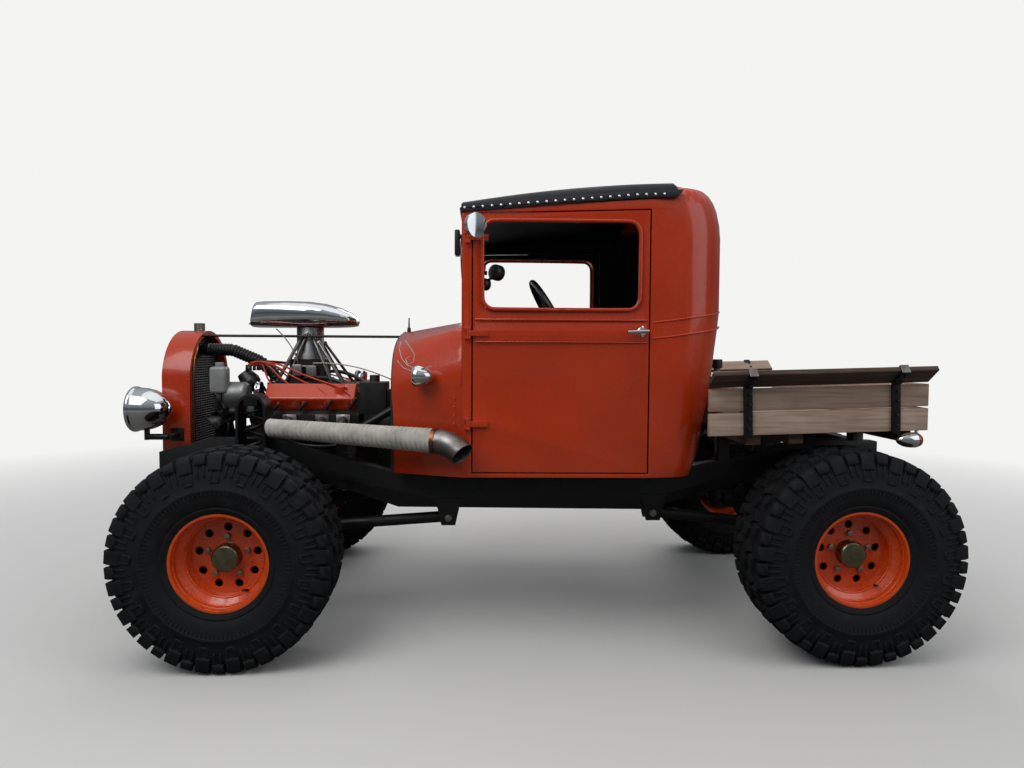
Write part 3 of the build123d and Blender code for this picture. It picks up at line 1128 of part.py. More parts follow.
FLARE_FOOT = Vector(BED_HALF + 2, SIDE_HEIGHT + 6)
FLARE_ALONG = Vector(cos(radians(FLARE_ANGLE)), sin(radians(FLARE_ANGLE)))
FLARE_UP = Vector(-sin(radians(FLARE_ANGLE)), cos(radians(FLARE_ANGLE)))


def flare(along, up):
    """Sideways distance and height in the bed of a point of the flared board's section."""
    point = FLARE_FOOT + FLARE_ALONG * along + FLARE_UP * up
    return (point.X, point.Y)


def bed_section(points, side, x0, x1):
    """Prism along the tilted bed whose section is given, mirrored to one side of the vehicle."""
    plane = Plane(origin=(x0, 0, bed_z(x0)), x_dir=(0, 1, 0), z_dir=BED_DIRECTION)
    with BuildSketch(plane) as section:
        with BuildLine():
            Polyline(*[(side * y, z) for y, z in points], close=True)
        make_face()
    extrude(section.sketch, amount=(x1 - x0) / BED_DIRECTION.X)


with BuildPart() as bed_sides:
    for low in (0.0, BOARD_HEIGHT + BOARD_SPLIT):
        for side in (-1, 1):
            bed_slab(BED_FRONT_X, BED_REAR_X, low, low + BOARD_HEIGHT, side * BED_INSIDE, side * BED_HALF)
        bed_slab(HEADBOARD_X, HEADBOARD_X + BOARD, max(low, PLANK), low + BOARD_HEIGHT, -BED_INSIDE,
                 BED_INSIDE)
    for side in (-1, 1):
        flared = [flare(0, 0), flare(FLARE_WIDTH, 0), flare(FLARE_WIDTH, FLARE_BOARD), flare(0, FLARE_BOARD)]
        bed_section(flared, side, BED_FRONT_X, BED_REAR_X)
save(bed_sides.part, "bed_sides")

STAKE_XS = (902.0, 1522.0)

with BuildPart() as bed_stakes:
    knee = BED_HALF + STAKE
    knee_z = flare(0, -10)[1] + (knee - flare(0, -10)[0]) * tan(radians(FLARE_ANGLE))
    stake = [(BED_HALF, -8), (knee, -8), (knee, knee_z), flare(FLARE_WIDTH + 4, -10),
             flare(FLARE_WIDTH + 4, FLARE_BOARD + 6), flare(FLARE_WIDTH - 22, FLARE_BOARD + 6),
             flare(FLARE_WIDTH - 22, FLARE_BOARD), flare(FLARE_WIDTH, FLARE_BOARD), flare(FLARE_WIDTH, 0),
             flare(0, 0), (BED_HALF, SIDE_HEIGHT)]
    for side in (-1, 1):
        for x in STAKE_XS:
            bed_section(stake, side, x, x + STAKE_WIDTH)
save(bed_stakes.part, "bed_stakes")

TANK_FRONT_X = HEADBOARD_X + BOARD + 2
TANK_REAR_X = 1060.0
TANK_TOP = 225.0
FILLER = (985.0, -200.0)

with BuildPart() as fuel_tank:
    bed_slab(TANK_FRONT_X, TANK_REAR_X, PLANK, TANK_TOP, -450, 450)
    low = bed_z(FILLER[0], TANK_TOP) - 6
    rod((*FILLER, low), (*FILLER, 1188), 16)
    rod((*FILLER, 1188), (*FILLER, 1231), 26)
save(fuel_tank.part, "fuel_tank")

# Doors
DOOR_X0 = DOOR_FRONT_X + DOOR_GAP
DOOR_X1 = DOOR_REAR_X - DOOR_GAP
HINGE_LEAF_X = -150.0
HANDLE_X = 497.0
HANDLE_Z = 1350.0
HANDLE_REACH = 34.0
MIRROR = (-205.0, DOOR_HALF + 52.0, 1778.0)
MIRROR_RADIUS = 52.0


def door(side):
    """One door: slab with a window, belt, hinge leaves, handle and mirror."""
    skin = [(x, cab_half(x)) for x in (DOOR_X0, DOOR_X1)]
    trim = [(x, y - DOOR_THICKNESS) for x, y in skin[::-1]]
    plan_outline([(x, side * y) for x, y in skin + trim], SILL_Z + DOOR_GAP, DOOR_TOP_REAR_Z)
    side_outline([(DOOR_X0, SILL_Z + DOOR_GAP), (DOOR_X1, SILL_Z + DOOR_GAP),
                  (DOOR_X1, DOOR_TOP_REAR_Z - DOOR_GAP),
                  (DOOR_X0, DOOR_TOP_FRONT_Z - DOOR_GAP)], side * (DOOR_HALF - 190),
                 side * (DOOR_HALF + 110), Mode.INTERSECT)
    with BuildSketch(Plane.XZ.offset(-side * (DOOR_HALF - 90))) as window:
        with Locations(((WINDOW_X0 + WINDOW_X1) / 2, (WINDOW_Z0 + WINDOW_Z1) / 2)):
            RectangleRounded(WINDOW_X1 - WINDOW_X0, WINDOW_Z1 - WINDOW_Z0, WINDOW_CORNER)
    extrude(window.sketch, amount=-side * 200, mode=Mode.SUBTRACT)
    belt = [(x, cab_half(x) + proud) for x, proud in
            ((DOOR_X0 + 8, BELT_PROUD), (DOOR_X1 - 8, BELT_PROUD), (DOOR_X1 - 8, -1), (DOOR_X0 + 8, -1))]
    plan_outline([(x, side * y) for x, y in belt], BELT_Z0, BELT_Z1)
    for z in HINGE_ZS:
        low, high = z - HINGE_EYE / 2, z + HINGE_EYE / 2
        rod((HINGE_X, side * HINGE_Y, low), (HINGE_X, side * HINGE_Y, high), HINGE_RADIUS)
        low, high = sorted((side * (HINGE_Y - HINGE_RADIUS), side * (HINGE_Y + HINGE_RADIUS - 4)))
        block(HINGE_X, HINGE_LEAF_X, low, high, z - HINGE_EYE / 2, z + HINGE_EYE / 2)
        low, high = sorted((side * (cab_half(DOOR_X0) - 2), side * (HINGE_Y + HINGE_RADIUS - 4)))
        block(DOOR_X0 + 2, HINGE_LEAF_X, low, high, z - HINGE_EYE / 2, z + HINGE_EYE / 2)
    outer = cab_half(HANDLE_X)
    rod((HANDLE_X, side * (outer - 2), HANDLE_Z), (HANDLE_X, side * (outer + 34), HANDLE_Z), 15)
    grip = side * (outer + HANDLE_REACH)
    rod((HANDLE_X + 26, grip, HANDLE_Z + 2), (HANDLE_X - 64, grip, HANDLE_Z - 2), 7)
    # Mirror clamped to the frame at the window's upper front corner
    x, y, z = MIRROR
    rod((DOOR_X0 + 22, side * (cab_half(DOOR_X0) - 4), z + 30), (x, side * y, z), 6)
    rod((x - 5, side * (y - 8), z), (x + 9, side * (y + 8), z), MIRROR_RADIUS)


with BuildPart() as door_left:
    door(-1)
save(door_left.part, "door_left")

with BuildPart() as door_right:
    door(1)
save(door_right.part, "door_right")


def knuckle(side):
    """Steering knuckle: kingpin body, drum, spindle and steering arm."""
    body = FORK_INSIDE - FORK_GAP
    y = side * KINGPIN_Y
    rod((FRONT_AXLE_X, y, AXLE_Z - body), (FRONT_AXLE_X, y, AXLE_Z + body), KINGPIN_RADIUS)
    rod((FRONT_AXLE_X, y, AXLE_Z), (FRONT_AXLE_X, side * AXLE_FLANGE_Y, AXLE_Z), 56)
    rod((FRONT_AXLE_X, side * AXLE_FLANGE_Y, AXLE_Z), (FRONT_AXLE_X, side * DRUM_FACE_Y, AXLE_Z), DRUM_RADIUS)
    spindle_end = (FRONT_AXLE_X, side * SPINDLE_END_Y, AXLE_Z)
    rod((FRONT_AXLE_X, side * DRUM_FACE_Y, AXLE_Z), spindle_end, SPINDLE_RADIUS)
    eye = (EYE_X, side * EYE_Y)
    low = EYE_Z + STEER_ARM_HEIGHT
    across = Vector(eye[0] - FRONT_AXLE_X, eye[1] - y).normalized().rotate(Axis.Z, 90) * STEER_ARM_HALF
    plan_outline([(FRONT_AXLE_X + across.X, y + across.Y), (eye[0] + across.X, eye[1] + across.Y),
                  (eye[0] - across.X, eye[1] - across.Y), (FRONT_AXLE_X - across.X, y - across.Y)],
                 EYE_Z, low)
    rod((*eye, EYE_Z), (*eye, low), STEER_EYE_RADIUS)


EYE_X = FRONT_AXLE_X + STEER_ARM
EYE_Y = KINGPIN_Y - STEER_ARM_INSET
EYE_Z = AXLE_Z - STEER_ARM_DROP - STEER_ARM_HEIGHT

with BuildPart() as knuckle_left:
    knuckle(-1)
save(knuckle_left.part, "knuckle_left")

with BuildPart() as knuckle_right:
    knuckle(1)
save(knuckle_right.part, "knuckle_right")

with BuildPart() as tie_rod:
    top = EYE_Z - FORK_GAP
    for side in (-1, 1):
        rod((EYE_X, side * EYE_Y, top - TIE_EYE_HEIGHT), (EYE_X, side * EYE_Y, top), TIE_EYE_RADIUS)
    middle = top - TIE_EYE_HEIGHT / 2
    rod((EYE_X, -EYE_Y, middle), (EYE_X, EYE_Y, middle), TIE_ROD_RADIUS)
save(tie_rod.part, "tie_rod")

# Wheels: radius and distance outward from the wheel's centre plane
HALF_RIM = RIM_WIDTH / 2
WELL = RIM_WELL_RADIUS
HUB_INSIDE = DRUM_FACE_Y + WHEEL_GAP - WHEEL_Y
BARREL = [(FLANGE_RADIUS, HALF_RIM), (FLANGE_RADIUS, HALF_RIM - 6), (BEAD_RADIUS, HALF_RIM - 12),
          (BEAD_RADIUS, HALF_RIM - 50), (WELL, HALF_RIM - 70), (WELL, -40), (BEAD_RADIUS, 50 - HALF_RIM),
          (BEAD_RADIUS, 12 - HALF_RIM), (FLANGE_RADIUS, 6 - HALF_RIM), (FLANGE_RADIUS, -HALF_RIM)]
DISC_FACE = DISC_OFFSET + DISC_THICKNESS


def wheel(x, side):
    """Steel wheel: rim barrel, pierced disc, hub with its cap, and nuts."""
    centre = (x, side * WHEEL_Y, AXLE_Z)
    inner = [(radius - RIM_WALL, along) for radius, along in BARREL if radius < FLANGE_RADIUS]
    lips = [(BEAD_RADIUS - RIM_WALL, HALF_RIM), (BEAD_RADIUS - RIM_WALL, -HALF_RIM)]
    turned(centre, (0, side, 0), BARREL + [lips[1]] + inner[::-1] + [lips[0]])
    bore = SPINDLE_RADIUS + SPINDLE_CLEARANCE
    turned(centre, (0, side, 0),
           [(bore, HUB_INSIDE), (HUB_CAP_RADIUS + 6, HUB_INSIDE), (HUB_CAP_RADIUS + 6, DISC_OFFSET),
            (WELL - RIM_WALL + 2, DISC_OFFSET), (WELL - RIM_WALL + 2, DISC_FACE), (HUB_CAP_RADIUS, DISC_FACE),
            (HUB_CAP_RADIUS, HUB_CAP_REACH - 6), (HUB_CAP_RADIUS - 6, HUB_CAP_REACH), (0, HUB_CAP_REACH),
            (0, SPINDLE_END_Y - WHEEL_Y + 2), (bore, SPINDLE_END_Y - WHEEL_Y + 2)])
    for count, circle, radius, along, mode in (
            (DISC_HOLES, DISC_HOLE_CIRCLE, DISC_HOLE_RADIUS, (-20, 40), Mode.SUBTRACT),
            (STUDS, STUD_CIRCLE, NUT_RADIUS, (DISC_FACE - 2, DISC_FACE + NUT_HEIGHT), Mode.ADD)):
        for number in range(count):
            turn = 2 * pi * (number + 0.25) / count
            place = (x + circle * cos(turn), AXLE_Z + circle * sin(turn))
            rod((place[0], side * (WHEEL_Y + along[0]), place[1]),
                (place[0], side * (WHEEL_Y + along[1]), place[1]),
                radius, mode)


# Tyre: radius and distance outward from its centre plane, one half of the section
HALF_TREAD = TREAD_WIDTH / 2
HALF_SECTION = TYRE_SECTION / 2
LUG_DEPTH = 18.0
LUGS = 18
CASING_RADIUS = TYRE_RADIUS - LUG_DEPTH
CASING = [(BEAD_RADIUS, HALF_RIM - 14), (FLANGE_RADIUS + 2, HALF_RIM - 8),
          (FLANGE_RADIUS + 34, HALF_SECTION - 17), (0.69 * TYRE_RADIUS, HALF_SECTION),
          (0.85 * TYRE_RADIUS, HALF_SECTION - 8), (CASING_RADIUS, HALF_TREAD - 14)]
# Lugs of each half: distance of the inner and outer edge from the centre plane, half length along the tread,
# and how far round the pitch the row stands from the first one
LUG_ROWS = [(4.0, 46.0, 27.0, 0.0), (50.0, 84.0, 24.0, 0.38), (88.0, HALF_TREAD + 9, 28.0, -0.08)]


def tyre(x, side):
    """Wide mud tyre: casing with staggered rows of block lugs."""
    outline = CASING + [(radius, -along) for radius, along in CASING[::-1]]
    turned((x, side * WHEEL_Y, AXLE_Z), (0, side, 0), outline)
    # A lug of the first row stands with its edge on the ground
    first = degrees(asin(LUG_ROWS[0][2] / TYRE_RADIUS)) * LUGS / 360
    foot = CASING_RADIUS - LUG_DEPTH
    for half in (-1, 1):
        for inner, outer, reach, share in LUG_ROWS:
            drop = LUG_DEPTH / 3 if outer > HALF_TREAD else 0.0
            tip = sqrt(TYRE_RADIUS ** 2 - reach ** 2) - drop
            profile = [(inner, foot), (outer, foot), (outer, tip - drop), (outer - 10, tip), (inner, tip)]
            for number in range(LUGS):
                turn = 360 * (number + first + share + (0.5 if half > 0 else 0.0)) / LUGS
                plane = Plane((x, side * WHEEL_Y, AXLE_Z), x_dir=(0, half, 0),
                              z_dir=(cos(radians(turn)), 0, -half * sin(radians(turn))))
                with BuildSketch(plane) as lug:
                    with BuildLine():
                        Polyline(*profile, close=True)
                    make_face()
                extrude(lug.sketch, amount=reach, both=True)


for x, end in ((FRONT_AXLE_X, "front"), (REAR_AXLE_X, "rear")):
    for side, hand in ((-1, "left"), (1, "right")):
        with BuildPart() as wheel_part:
            wheel(x, side)
        save(wheel_part.part, f"wheel_{end}_{hand}")

with BuildPart() as tyre_part:
    tyre(FRONT_AXLE_X, -1)
for x, end in ((FRONT_AXLE_X, "front"), (REAR_AXLE_X, "rear")):
    for side, hand in ((-1, "left"), (1, "right")):
        moved = tyre_part.part.moved(Location((x - FRONT_AXLE_X, (side + 1) * WHEEL_Y, 0)))
        save(moved, f"tyre_{end}_{hand}")
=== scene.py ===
"""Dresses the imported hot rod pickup: finishes, tyres, bodywork, engine, bed, seats and a studio stage."""

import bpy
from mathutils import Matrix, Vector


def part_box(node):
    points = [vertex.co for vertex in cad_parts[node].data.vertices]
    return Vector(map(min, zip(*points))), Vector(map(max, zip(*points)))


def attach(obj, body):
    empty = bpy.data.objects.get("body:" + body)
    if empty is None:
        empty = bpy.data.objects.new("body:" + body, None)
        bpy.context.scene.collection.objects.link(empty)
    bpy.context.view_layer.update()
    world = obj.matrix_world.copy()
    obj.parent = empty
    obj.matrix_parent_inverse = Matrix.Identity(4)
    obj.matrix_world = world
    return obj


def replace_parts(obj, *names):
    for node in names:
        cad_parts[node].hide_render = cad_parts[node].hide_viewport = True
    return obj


bl_info = {
    "name": "Hot Rod Pickup Dresser",
    "version": (1, 0, 0),
    "blender": (4, 5, 0),
    "location": "View3D > Sidebar > Hot Rod",
    "description": "Builds the looks of an open-engined hot rod pickup around its packed frame",
    "category": "Object",
}

from contextlib import contextmanager
from math import atan2, cos, hypot, pi, radians, sin, tan

import bmesh
import bpy
from mathutils import Matrix, Vector

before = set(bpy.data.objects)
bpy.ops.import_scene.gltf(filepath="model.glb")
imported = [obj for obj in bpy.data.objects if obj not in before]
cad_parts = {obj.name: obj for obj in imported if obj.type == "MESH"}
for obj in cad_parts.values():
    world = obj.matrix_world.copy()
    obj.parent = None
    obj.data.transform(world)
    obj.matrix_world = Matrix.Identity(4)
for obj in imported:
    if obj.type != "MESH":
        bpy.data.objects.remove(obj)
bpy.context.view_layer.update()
WAYS = (-1, 1)
SIDES = (("left", -1), ("right", 1))
CORNERS = ("front_left", "front_right", "rear_left", "rear_right")
SPRAYED = ("enamel", "enamel")
BLACK = ("frame", "frame_black")
CAST = ("iron", "cast_iron")
MOULDED = ("plastic", "plastic")

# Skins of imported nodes: finish and material slot, rounding of edges in metres, its segments, smoothing angle, nodes
SKINS = (
    (*SPRAYED, 0.006, 4, 38, "cowl"),
    (*SPRAYED, 0.005, 3, 38, "cab_shell"),
    (*SPRAYED, 0.003, 3, 38, "door_left door_right"),
    (*SPRAYED, 0.012, 5, 38, "radiator_shell"),
    ("wheel", "enamel", 0.0028, 3, 32, "wheel_front_left wheel_front_right wheel_rear_left wheel_rear_right"),
    ("vinyl", "vinyl", 0.008, 3, 38, "roof_top"),
    ("glass", "glass", 0.0008, 1, 38, "glass"),
    ("chrome", "chrome", 0.0008, 2, 38, "grille"),
    ("steel", "bare_steel", 0.002, 2, 45, "exhausts"),
    ("tank_paint", "bare_steel", 0.014, 4, 38, "fuel_tank"),
    ("aluminium", "aluminium", 0.003, 2, 38, "alternator"),
    ("hose", "rubber", 0.001, 2, 38, "radiator_hose"),
    ("mat", "frame_black", 0.002, 3, 42, "cab_floor"),
    ("board", "board", 0.0028, 2, 38, "bed_sides"),
    ("board", "board", 0.002, 2, 38, "bed_floor"),
    ("cross", "board", 0.0028, 2, 38, "tailgate"),
    ("plastic", "frame_black", 0.001, 2, 38, "hood_rod"),
    (*BLACK, 0.0012, 2, 38, "cooling_fan"),
    (*BLACK, 0.002, 2, 38, "lamp_bar bed_stakes tie_rod"),
    (*BLACK, 0.002, 3, 42, "suspension_arms steering_column"),
    (*BLACK, 0.004, 3, 42, "crossmembers"),
    (*BLACK, 0.005, 3, 42, "chassis_frame"),
    (*MOULDED, 0.002, 2, 38, "distributor steering_wheel"),
    (*MOULDED, 0.004, 3, 38, "brake_servo"),
    (*MOULDED, 0.006, 3, 38, "dashboard"),
    (*CAST, 0.0025, 2, 38, "carburettor"),
    (*CAST, 0.004, 2, 38, "engine_block"),
    (*CAST, 0.004, 3, 38, "knuckle_left knuckle_right"),
    (*CAST, 0.004, 3, 42, "front_axle rear_axle"),
    (*CAST, 0.006, 3, 42, "gearbox"),
)
SKIN_OF = {node: row for *row, nodes in SKINS for node in nodes.split()}
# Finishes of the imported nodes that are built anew, and of the core, which stays as packed
OTHERS = {
    "enamel": "valve_covers", "chrome": "air_scoop headlamps marker_lamps", "steel": "coil_springs",
    "fins": "radiator_core", "seat": "seat_cushion seat_back",
    "tyre": "tyre_front_left tyre_front_right tyre_rear_left tyre_rear_right",
}
# Nodes with a body of their own name, by the start of the name; all others belong to the chassis
MOVING = ("door", "wheel", "tailgate", "steering_wheel", "knuckle", "tie_rod")


class HotRodSizes(bpy.types.PropertyGroup):
    """Sizes of the dressed pieces."""

    lug_depth: bpy.props.FloatProperty(name="Lug depth", description="Height of the tyre's lugs over its casing",
                                       default=0.0185, unit="LENGTH")
    lug_pitches: bpy.props.IntProperty(name="Lug pitches", description="Repeats of the tread round a tyre",
                                       default=21)
    stud_pitch: bpy.props.FloatProperty(name="Stud pitch", description="Spacing of the studs along the roof's edge",
                                        default=0.038, unit="LENGTH")
    spring_wire: bpy.props.FloatProperty(name="Spring wire", description="Radius of the coil springs' wire",
                                         default=0.0068, unit="LENGTH")
    wrap_pitch: bpy.props.FloatProperty(name="Wrap pitch", description="Advance of each turn of the exhaust wrap",
                                        default=0.021, unit="LENGTH")
    lead: bpy.props.FloatProperty(name="Plug lead", description="Radius of the ignition leads", default=0.0042,
                                  unit="LENGTH")
    piping: bpy.props.FloatProperty(name="Piping", description="Radius of the roof's piping", default=0.0045,
                                    unit="LENGTH")


class HotRodColours(bpy.types.PropertyGroup):
    """Main colours, as sRGB hex text."""

    body: bpy.props.StringProperty(name="Body enamel", description="Colour of the bodywork", default="#C43706")
    body_shade: bpy.props.StringProperty(name="Body enamel, deeper", description="Second tone of the bodywork",
                                         default="#B23107")
    roof: bpy.props.StringProperty(name="Roof vinyl", description="Colour of the covered roof", default="#101318")
    board: bpy.props.StringProperty(name="Boards", description="Weathered face of the bed's boards",
                                    default="#D6BBAC")
    wrap: bpy.props.StringProperty(name="Exhaust wrap", description="Tape on the exhausts", default="#C6C2BA")


def sizes():
    """The scene's sizes."""
    return bpy.context.scene.hot_rod_sizes


def middle(node):
    """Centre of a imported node's box."""
    low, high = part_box(node)
    return (low + high) / 2


# Handling of meshes
def pick(*objects):
    """Select only these objects, the last one active."""
    if bpy.context.mode != "OBJECT":
        bpy.ops.object.mode_set(mode="OBJECT")
    bpy.ops.object.select_all(action="DESELECT")
    for obj in objects:
        obj.select_set(True)
    bpy.context.view_layer.objects.active = objects[-1]


@contextmanager
def editing(obj):
    """Edit mode on one object, with all of it selected."""
    pick(obj)
    bpy.ops.object.mode_set(mode="EDIT")
    bpy.ops.mesh.select_mode(type="VERT")
    bpy.ops.mesh.select_all(action="SELECT")
    yield bmesh.from_edit_mesh(obj.data)
    bpy.ops.object.mode_set(mode="OBJECT")


def modify(obj, kind, **settings):
    """Add a modifier with its settings and apply it."""
    pick(obj)
    made = obj.modifiers.new(kind.title(), kind)
    for name, value in settings.items():
        setattr(made, name, value)
    bpy.ops.object.modifier_apply(modifier=made.name)


def soften(obj, width, segments=2, angle=35):
    """Round the sharp edges of a mesh by a width."""
    modify(obj, "BEVEL", width=width, segments=segments, limit_method="ANGLE", angle_limit=radians(angle),
           use_clamp_overlap=True, miter_outer="MITER_ARC")


def outwards(obj):
    """Merge doubled points and turn the faces outwards."""
    with editing(obj):
        bpy.ops.mesh.remove_doubles(threshold=0.00005)
        bpy.ops.mesh.normals_make_consistent(inside=False)
    return obj


def joined(objects):
    """One object out of several."""
    if len(objects) > 1:
        pick(*objects)
        bpy.ops.object.join()
    return objects[-1]


def bake_place(obj):
    """Put an object's place into its mesh, so that it sits at the origin."""
    pick(obj)
    bpy.ops.object.transform_apply(location=True, rotation=True, scale=True)
    return obj


def dress(name, parts, look, slot, body="chassis", angle=38):
    """Join the parts of a piece, name it, give it its finish, and let it ride on its body."""
    made = bake_place(joined(parts if isinstance(parts, list) else [parts]))
    bpy.ops.object.shade_smooth_by_angle(angle=radians(angle))
    made.name = made.data.name = name
    if not made.data.materials:
        made.data.materials.append(finish(look))
    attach(made, body)
    return made


def copy_of(node):
    """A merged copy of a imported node's mesh, its flat faces made whole again."""
    made = bpy.data.objects.new(node + "_skin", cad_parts[node].data.copy())
    bpy.context.scene.collection.objects.link(made)
    made.data.materials.clear()
    with editing(made):
        bpy.ops.mesh.remove_doubles(threshold=0.00002)
        bpy.ops.mesh.dissolve_limited(angle_limit=radians(0.4))
    return made


def skin(node):
    """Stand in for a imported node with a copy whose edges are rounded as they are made."""
    look, slot, width, segments, angle = SKIN_OF[node]
    made = copy_of(node)
    soften(made, width, segments)
    dress(node + "_skin", made, look, slot, node if node.startswith(MOVING) else "chassis", angle)
    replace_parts(made, node)
    return made


def paint(obj, look, test):
    """Give another finish to the faces whose middle and normal pass a test."""
    obj.data.materials.append(finish(look))
    for face in obj.data.polygons:
        if test(face.center, face.normal):
            face.material_index = len(obj.data.materials) - 1


def plank_tones(obj):
    """Write one value for each loose board of a mesh, from its place, for its wood's tone."""
    obj.data.attributes.new("plank_tone", "FLOAT", "FACE")
    with editing(obj) as mesh:
        layer = mesh.faces.layers.float["plank_tone"]
        left = set(mesh.faces)
        while left:
            reached, board = [left.pop()], []
            while reached:
                face = reached.pop()
                board.append(face)
                near = {other for edge in face.edges for other in edge.link_faces} & left
                left -= near
                reached += near
            place = sum((face.calc_center_median() for face in board), Vector()) / len(board)
            for face in board:
                face[layer] = sin(place.x * 91.7 + place.y * 47.3 + place.z * 173.1) * 0.5 + 0.5


# Shapes that pieces are made of
def box(low, high, width=0.0, segments=2):
    """Rounded block between two corners."""
    low, high = Vector(low), Vector(high)
    bpy.ops.mesh.primitive_cube_add(size=1, location=(low + high) / 2)
    made = bpy.context.object
    made.scale = high - low
    bake_place(made)
    if width:
        soften(made, width, segments)
    return made


def bar(start, end, radius, end_radius=None, vertices=24, width=0.0):
    """Round bar or cone from one point to another, with softened ends."""
    start, end = Vector(start), Vector(end)
    run = end - start
    bpy.ops.mesh.primitive_cone_add(vertices=vertices, radius1=radius, radius2=end_radius or radius,
                                    depth=run.length, location=(start + end) / 2)
    made = bpy.context.object
    made.rotation_mode = "QUATERNION"
    made.rotation_quaternion = run.to_track_quat("Z", "Y")
    bake_place(made)
    if width:
        soften(made, width)
    return made


def turn(profile, origin, along, steps=64, closed=False):
    """Spin a profile of radius and distance rows about an axis, as on a lathe."""
    along = Vector(along).normalized()
    out = along.orthogonal().normalized()
    origin = Vector(origin)
    bpy.ops.mesh.primitive_plane_add(size=0.001, location=(0, 0, 0))
    made = bpy.context.object
    with editing(made) as mesh:
        bpy.ops.mesh.merge(type="CENTER")
        bpy.ops.transform.translate(value=origin + out * profile[0][0] + along * profile[0][1])
        for before, after in zip(profile, profile[1:]):
            step = out * (after[0] - before[0]) + along * (after[1] - before[1])
            bpy.ops.mesh.extrude_region_move(TRANSFORM_OT_translate={"value": step})
        if closed:
            mesh = bmesh.from_edit_mesh(made.data)
            mesh.verts.ensure_lookup_table()
            mesh.edges.new((mesh.verts[0], mesh.verts[-1]))
        bpy.ops.mesh.select_all(action="SELECT")
        bpy.ops.mesh.spin(steps=steps, angle=2 * pi, center=origin, axis=along)
    return outwards(made)


def ring(radius, section, origin, along, steps=48, around=12):
    """Torus about an axis."""
    bpy.ops.mesh.primitive_torus_add(major_radius=radius, minor_radius=section, major_segments=steps,
                                     minor_segments=around, location=origin)
    made = bpy.context.object
    made.rotation_mode = "QUATERNION"
    made.rotation_quaternion = Vector(along).normalized().to_track_quat("Z", "Y")
    return bake_place(made)


def tube(points, radius, resolution=4, steps=6):
    """Round tube along a smooth line through a few points, with closed ends."""
    bpy.ops.curve.primitive_nurbs_path_add(location=(0, 0, 0))
    curve = bpy.context.object.data
    curve.splines.clear()
    spline = curve.splines.new("NURBS")
    spline.points.add(len(points) - 1)
    for point, place in zip(spline.points, points):
        point.co = (*place, 1)
    spline.order_u = min(3, len(points))
    spline.use_endpoint_u = True
    curve.resolution_u = steps
    curve.dimensions = "3D"
    curve.bevel_depth = radius
    curve.bevel_resolution = resolution
    curve.use_fill_caps = True
    pick(bpy.context.object)
    bpy.ops.object.convert(target="MESH")
    return outwards(bpy.context.object)


def copies(obj, places):
    """Copies of an object moved by each place, joined into one."""
    made = []
    for place in places:
        pick(obj)
        bpy.ops.object.duplicate()
        bpy.ops.transform.translate(value=Vector(place))
        made.append(bpy.context.object)
    pick(obj)
    bpy.ops.object.delete()
    return bake_place(joined(made))


def bolt_head(place, along, radius=0.008, height=0.006):
    """Hexagon head on a washer."""
    place, along = Vector(place), Vector(along).normalized()
    seat, top = place + along * height * 0.3, place + along * height * 1.3
    return joined([bar(place, seat, radius * 1.35, vertices=20),
                   bar(seat, top, radius, radius * 0.94, vertices=6, width=radius * 0.12)])


def rivet(place, along, radius=0.004):
    """Domed rivet head."""
    rows = ((0.0001, 0.6 * radius), (0.5 * radius, 0.5 * radius), (0.88 * radius, 0.25 * radius), (radius, 0))
    return turn(rows, place, along, steps=10)


# Making of materials
def linear(text, alpha=1.0):
    """Linear colour of an sRGB hex text, or of one of the panel's colours by its name."""
    text = getattr(bpy.context.scene.hot_rod_colours, text, text)
    parts = [int(text[place:place + 2], 16) / 255 for place in (1, 3, 5)]
    return (*[p / 12.92 if p <= 0.04045 else ((p + 0.055) / 1.055) ** 2.4 for p in parts], alpha)


def add(tree, kind, inputs=None, out=0, stops=(), **settings):
    """Add a shader node with its settings, values, links and colour stops, and answer with one of its outputs."""
    made = tree.nodes.new("ShaderNode" + kind)
    for name, value in settings.items():
        setattr(made, name, value)
    for name, value in (inputs or {}).items():
        if isinstance(value, bpy.types.NodeSocket):
            tree.links.new(value, made.inputs[name])
        else:
            made.inputs[name].default_value = value
    for number, (position, text) in enumerate((*stops[:1], *stops[-1:], *stops[1:-1])):
        elements = made.color_ramp.elements
        stop = elements[number] if number < 2 else elements.new(position)
        stop.position, stop.color = position, linear(text)
    return made.outputs[out] if made.outputs else None


def between(value, start, end, low, high):
    """Inputs that map a value's run from start to end onto low to high."""
    return {"Value": value, "From Min": start, "From Max": end, "To Min": low, "To Max": high}


def fields(tree, place, *rows):
    """Texture fields at a place: size of their features in metres, detail, and the texture where it isn't noise."""
    return [add(tree, kind[0] if kind else "TexNoise", {"Vector": place, "Scale": 1 / size, "Detail": detail})
            for size, detail, *kind in rows]


def begin(name):
    """New material with an empty tree, and the object's coordinates in it."""
    made = bpy.data.materials.new(name)
    made.use_nodes = True
    made.node_tree.nodes.clear()
    return made, made.node_tree, add(made.node_tree, "TexCoord", out="Object")


def close(made, colour, rough, layers=(), **shader):
    """End a material in its shader: colour, roughness, layers of relief with the last on top, and fixed values."""
    tree = made.node_tree
    inputs = {"Base Color": colour, "Roughness": rough}
    for height, depth in layers:
        under = {"Normal": inputs["Normal"]} if "Normal" in inputs else {}
        inputs["Normal"] = add(tree, "Bump", {"Height": height, "Distance": depth, "Strength": 1.0, **under})
    inputs.update({key.replace("_", " "): value for key, value in shader.items()})
    add(tree, "OutputMaterial", {"Surface": add(tree, "BsdfPrincipled", inputs)})
    return made


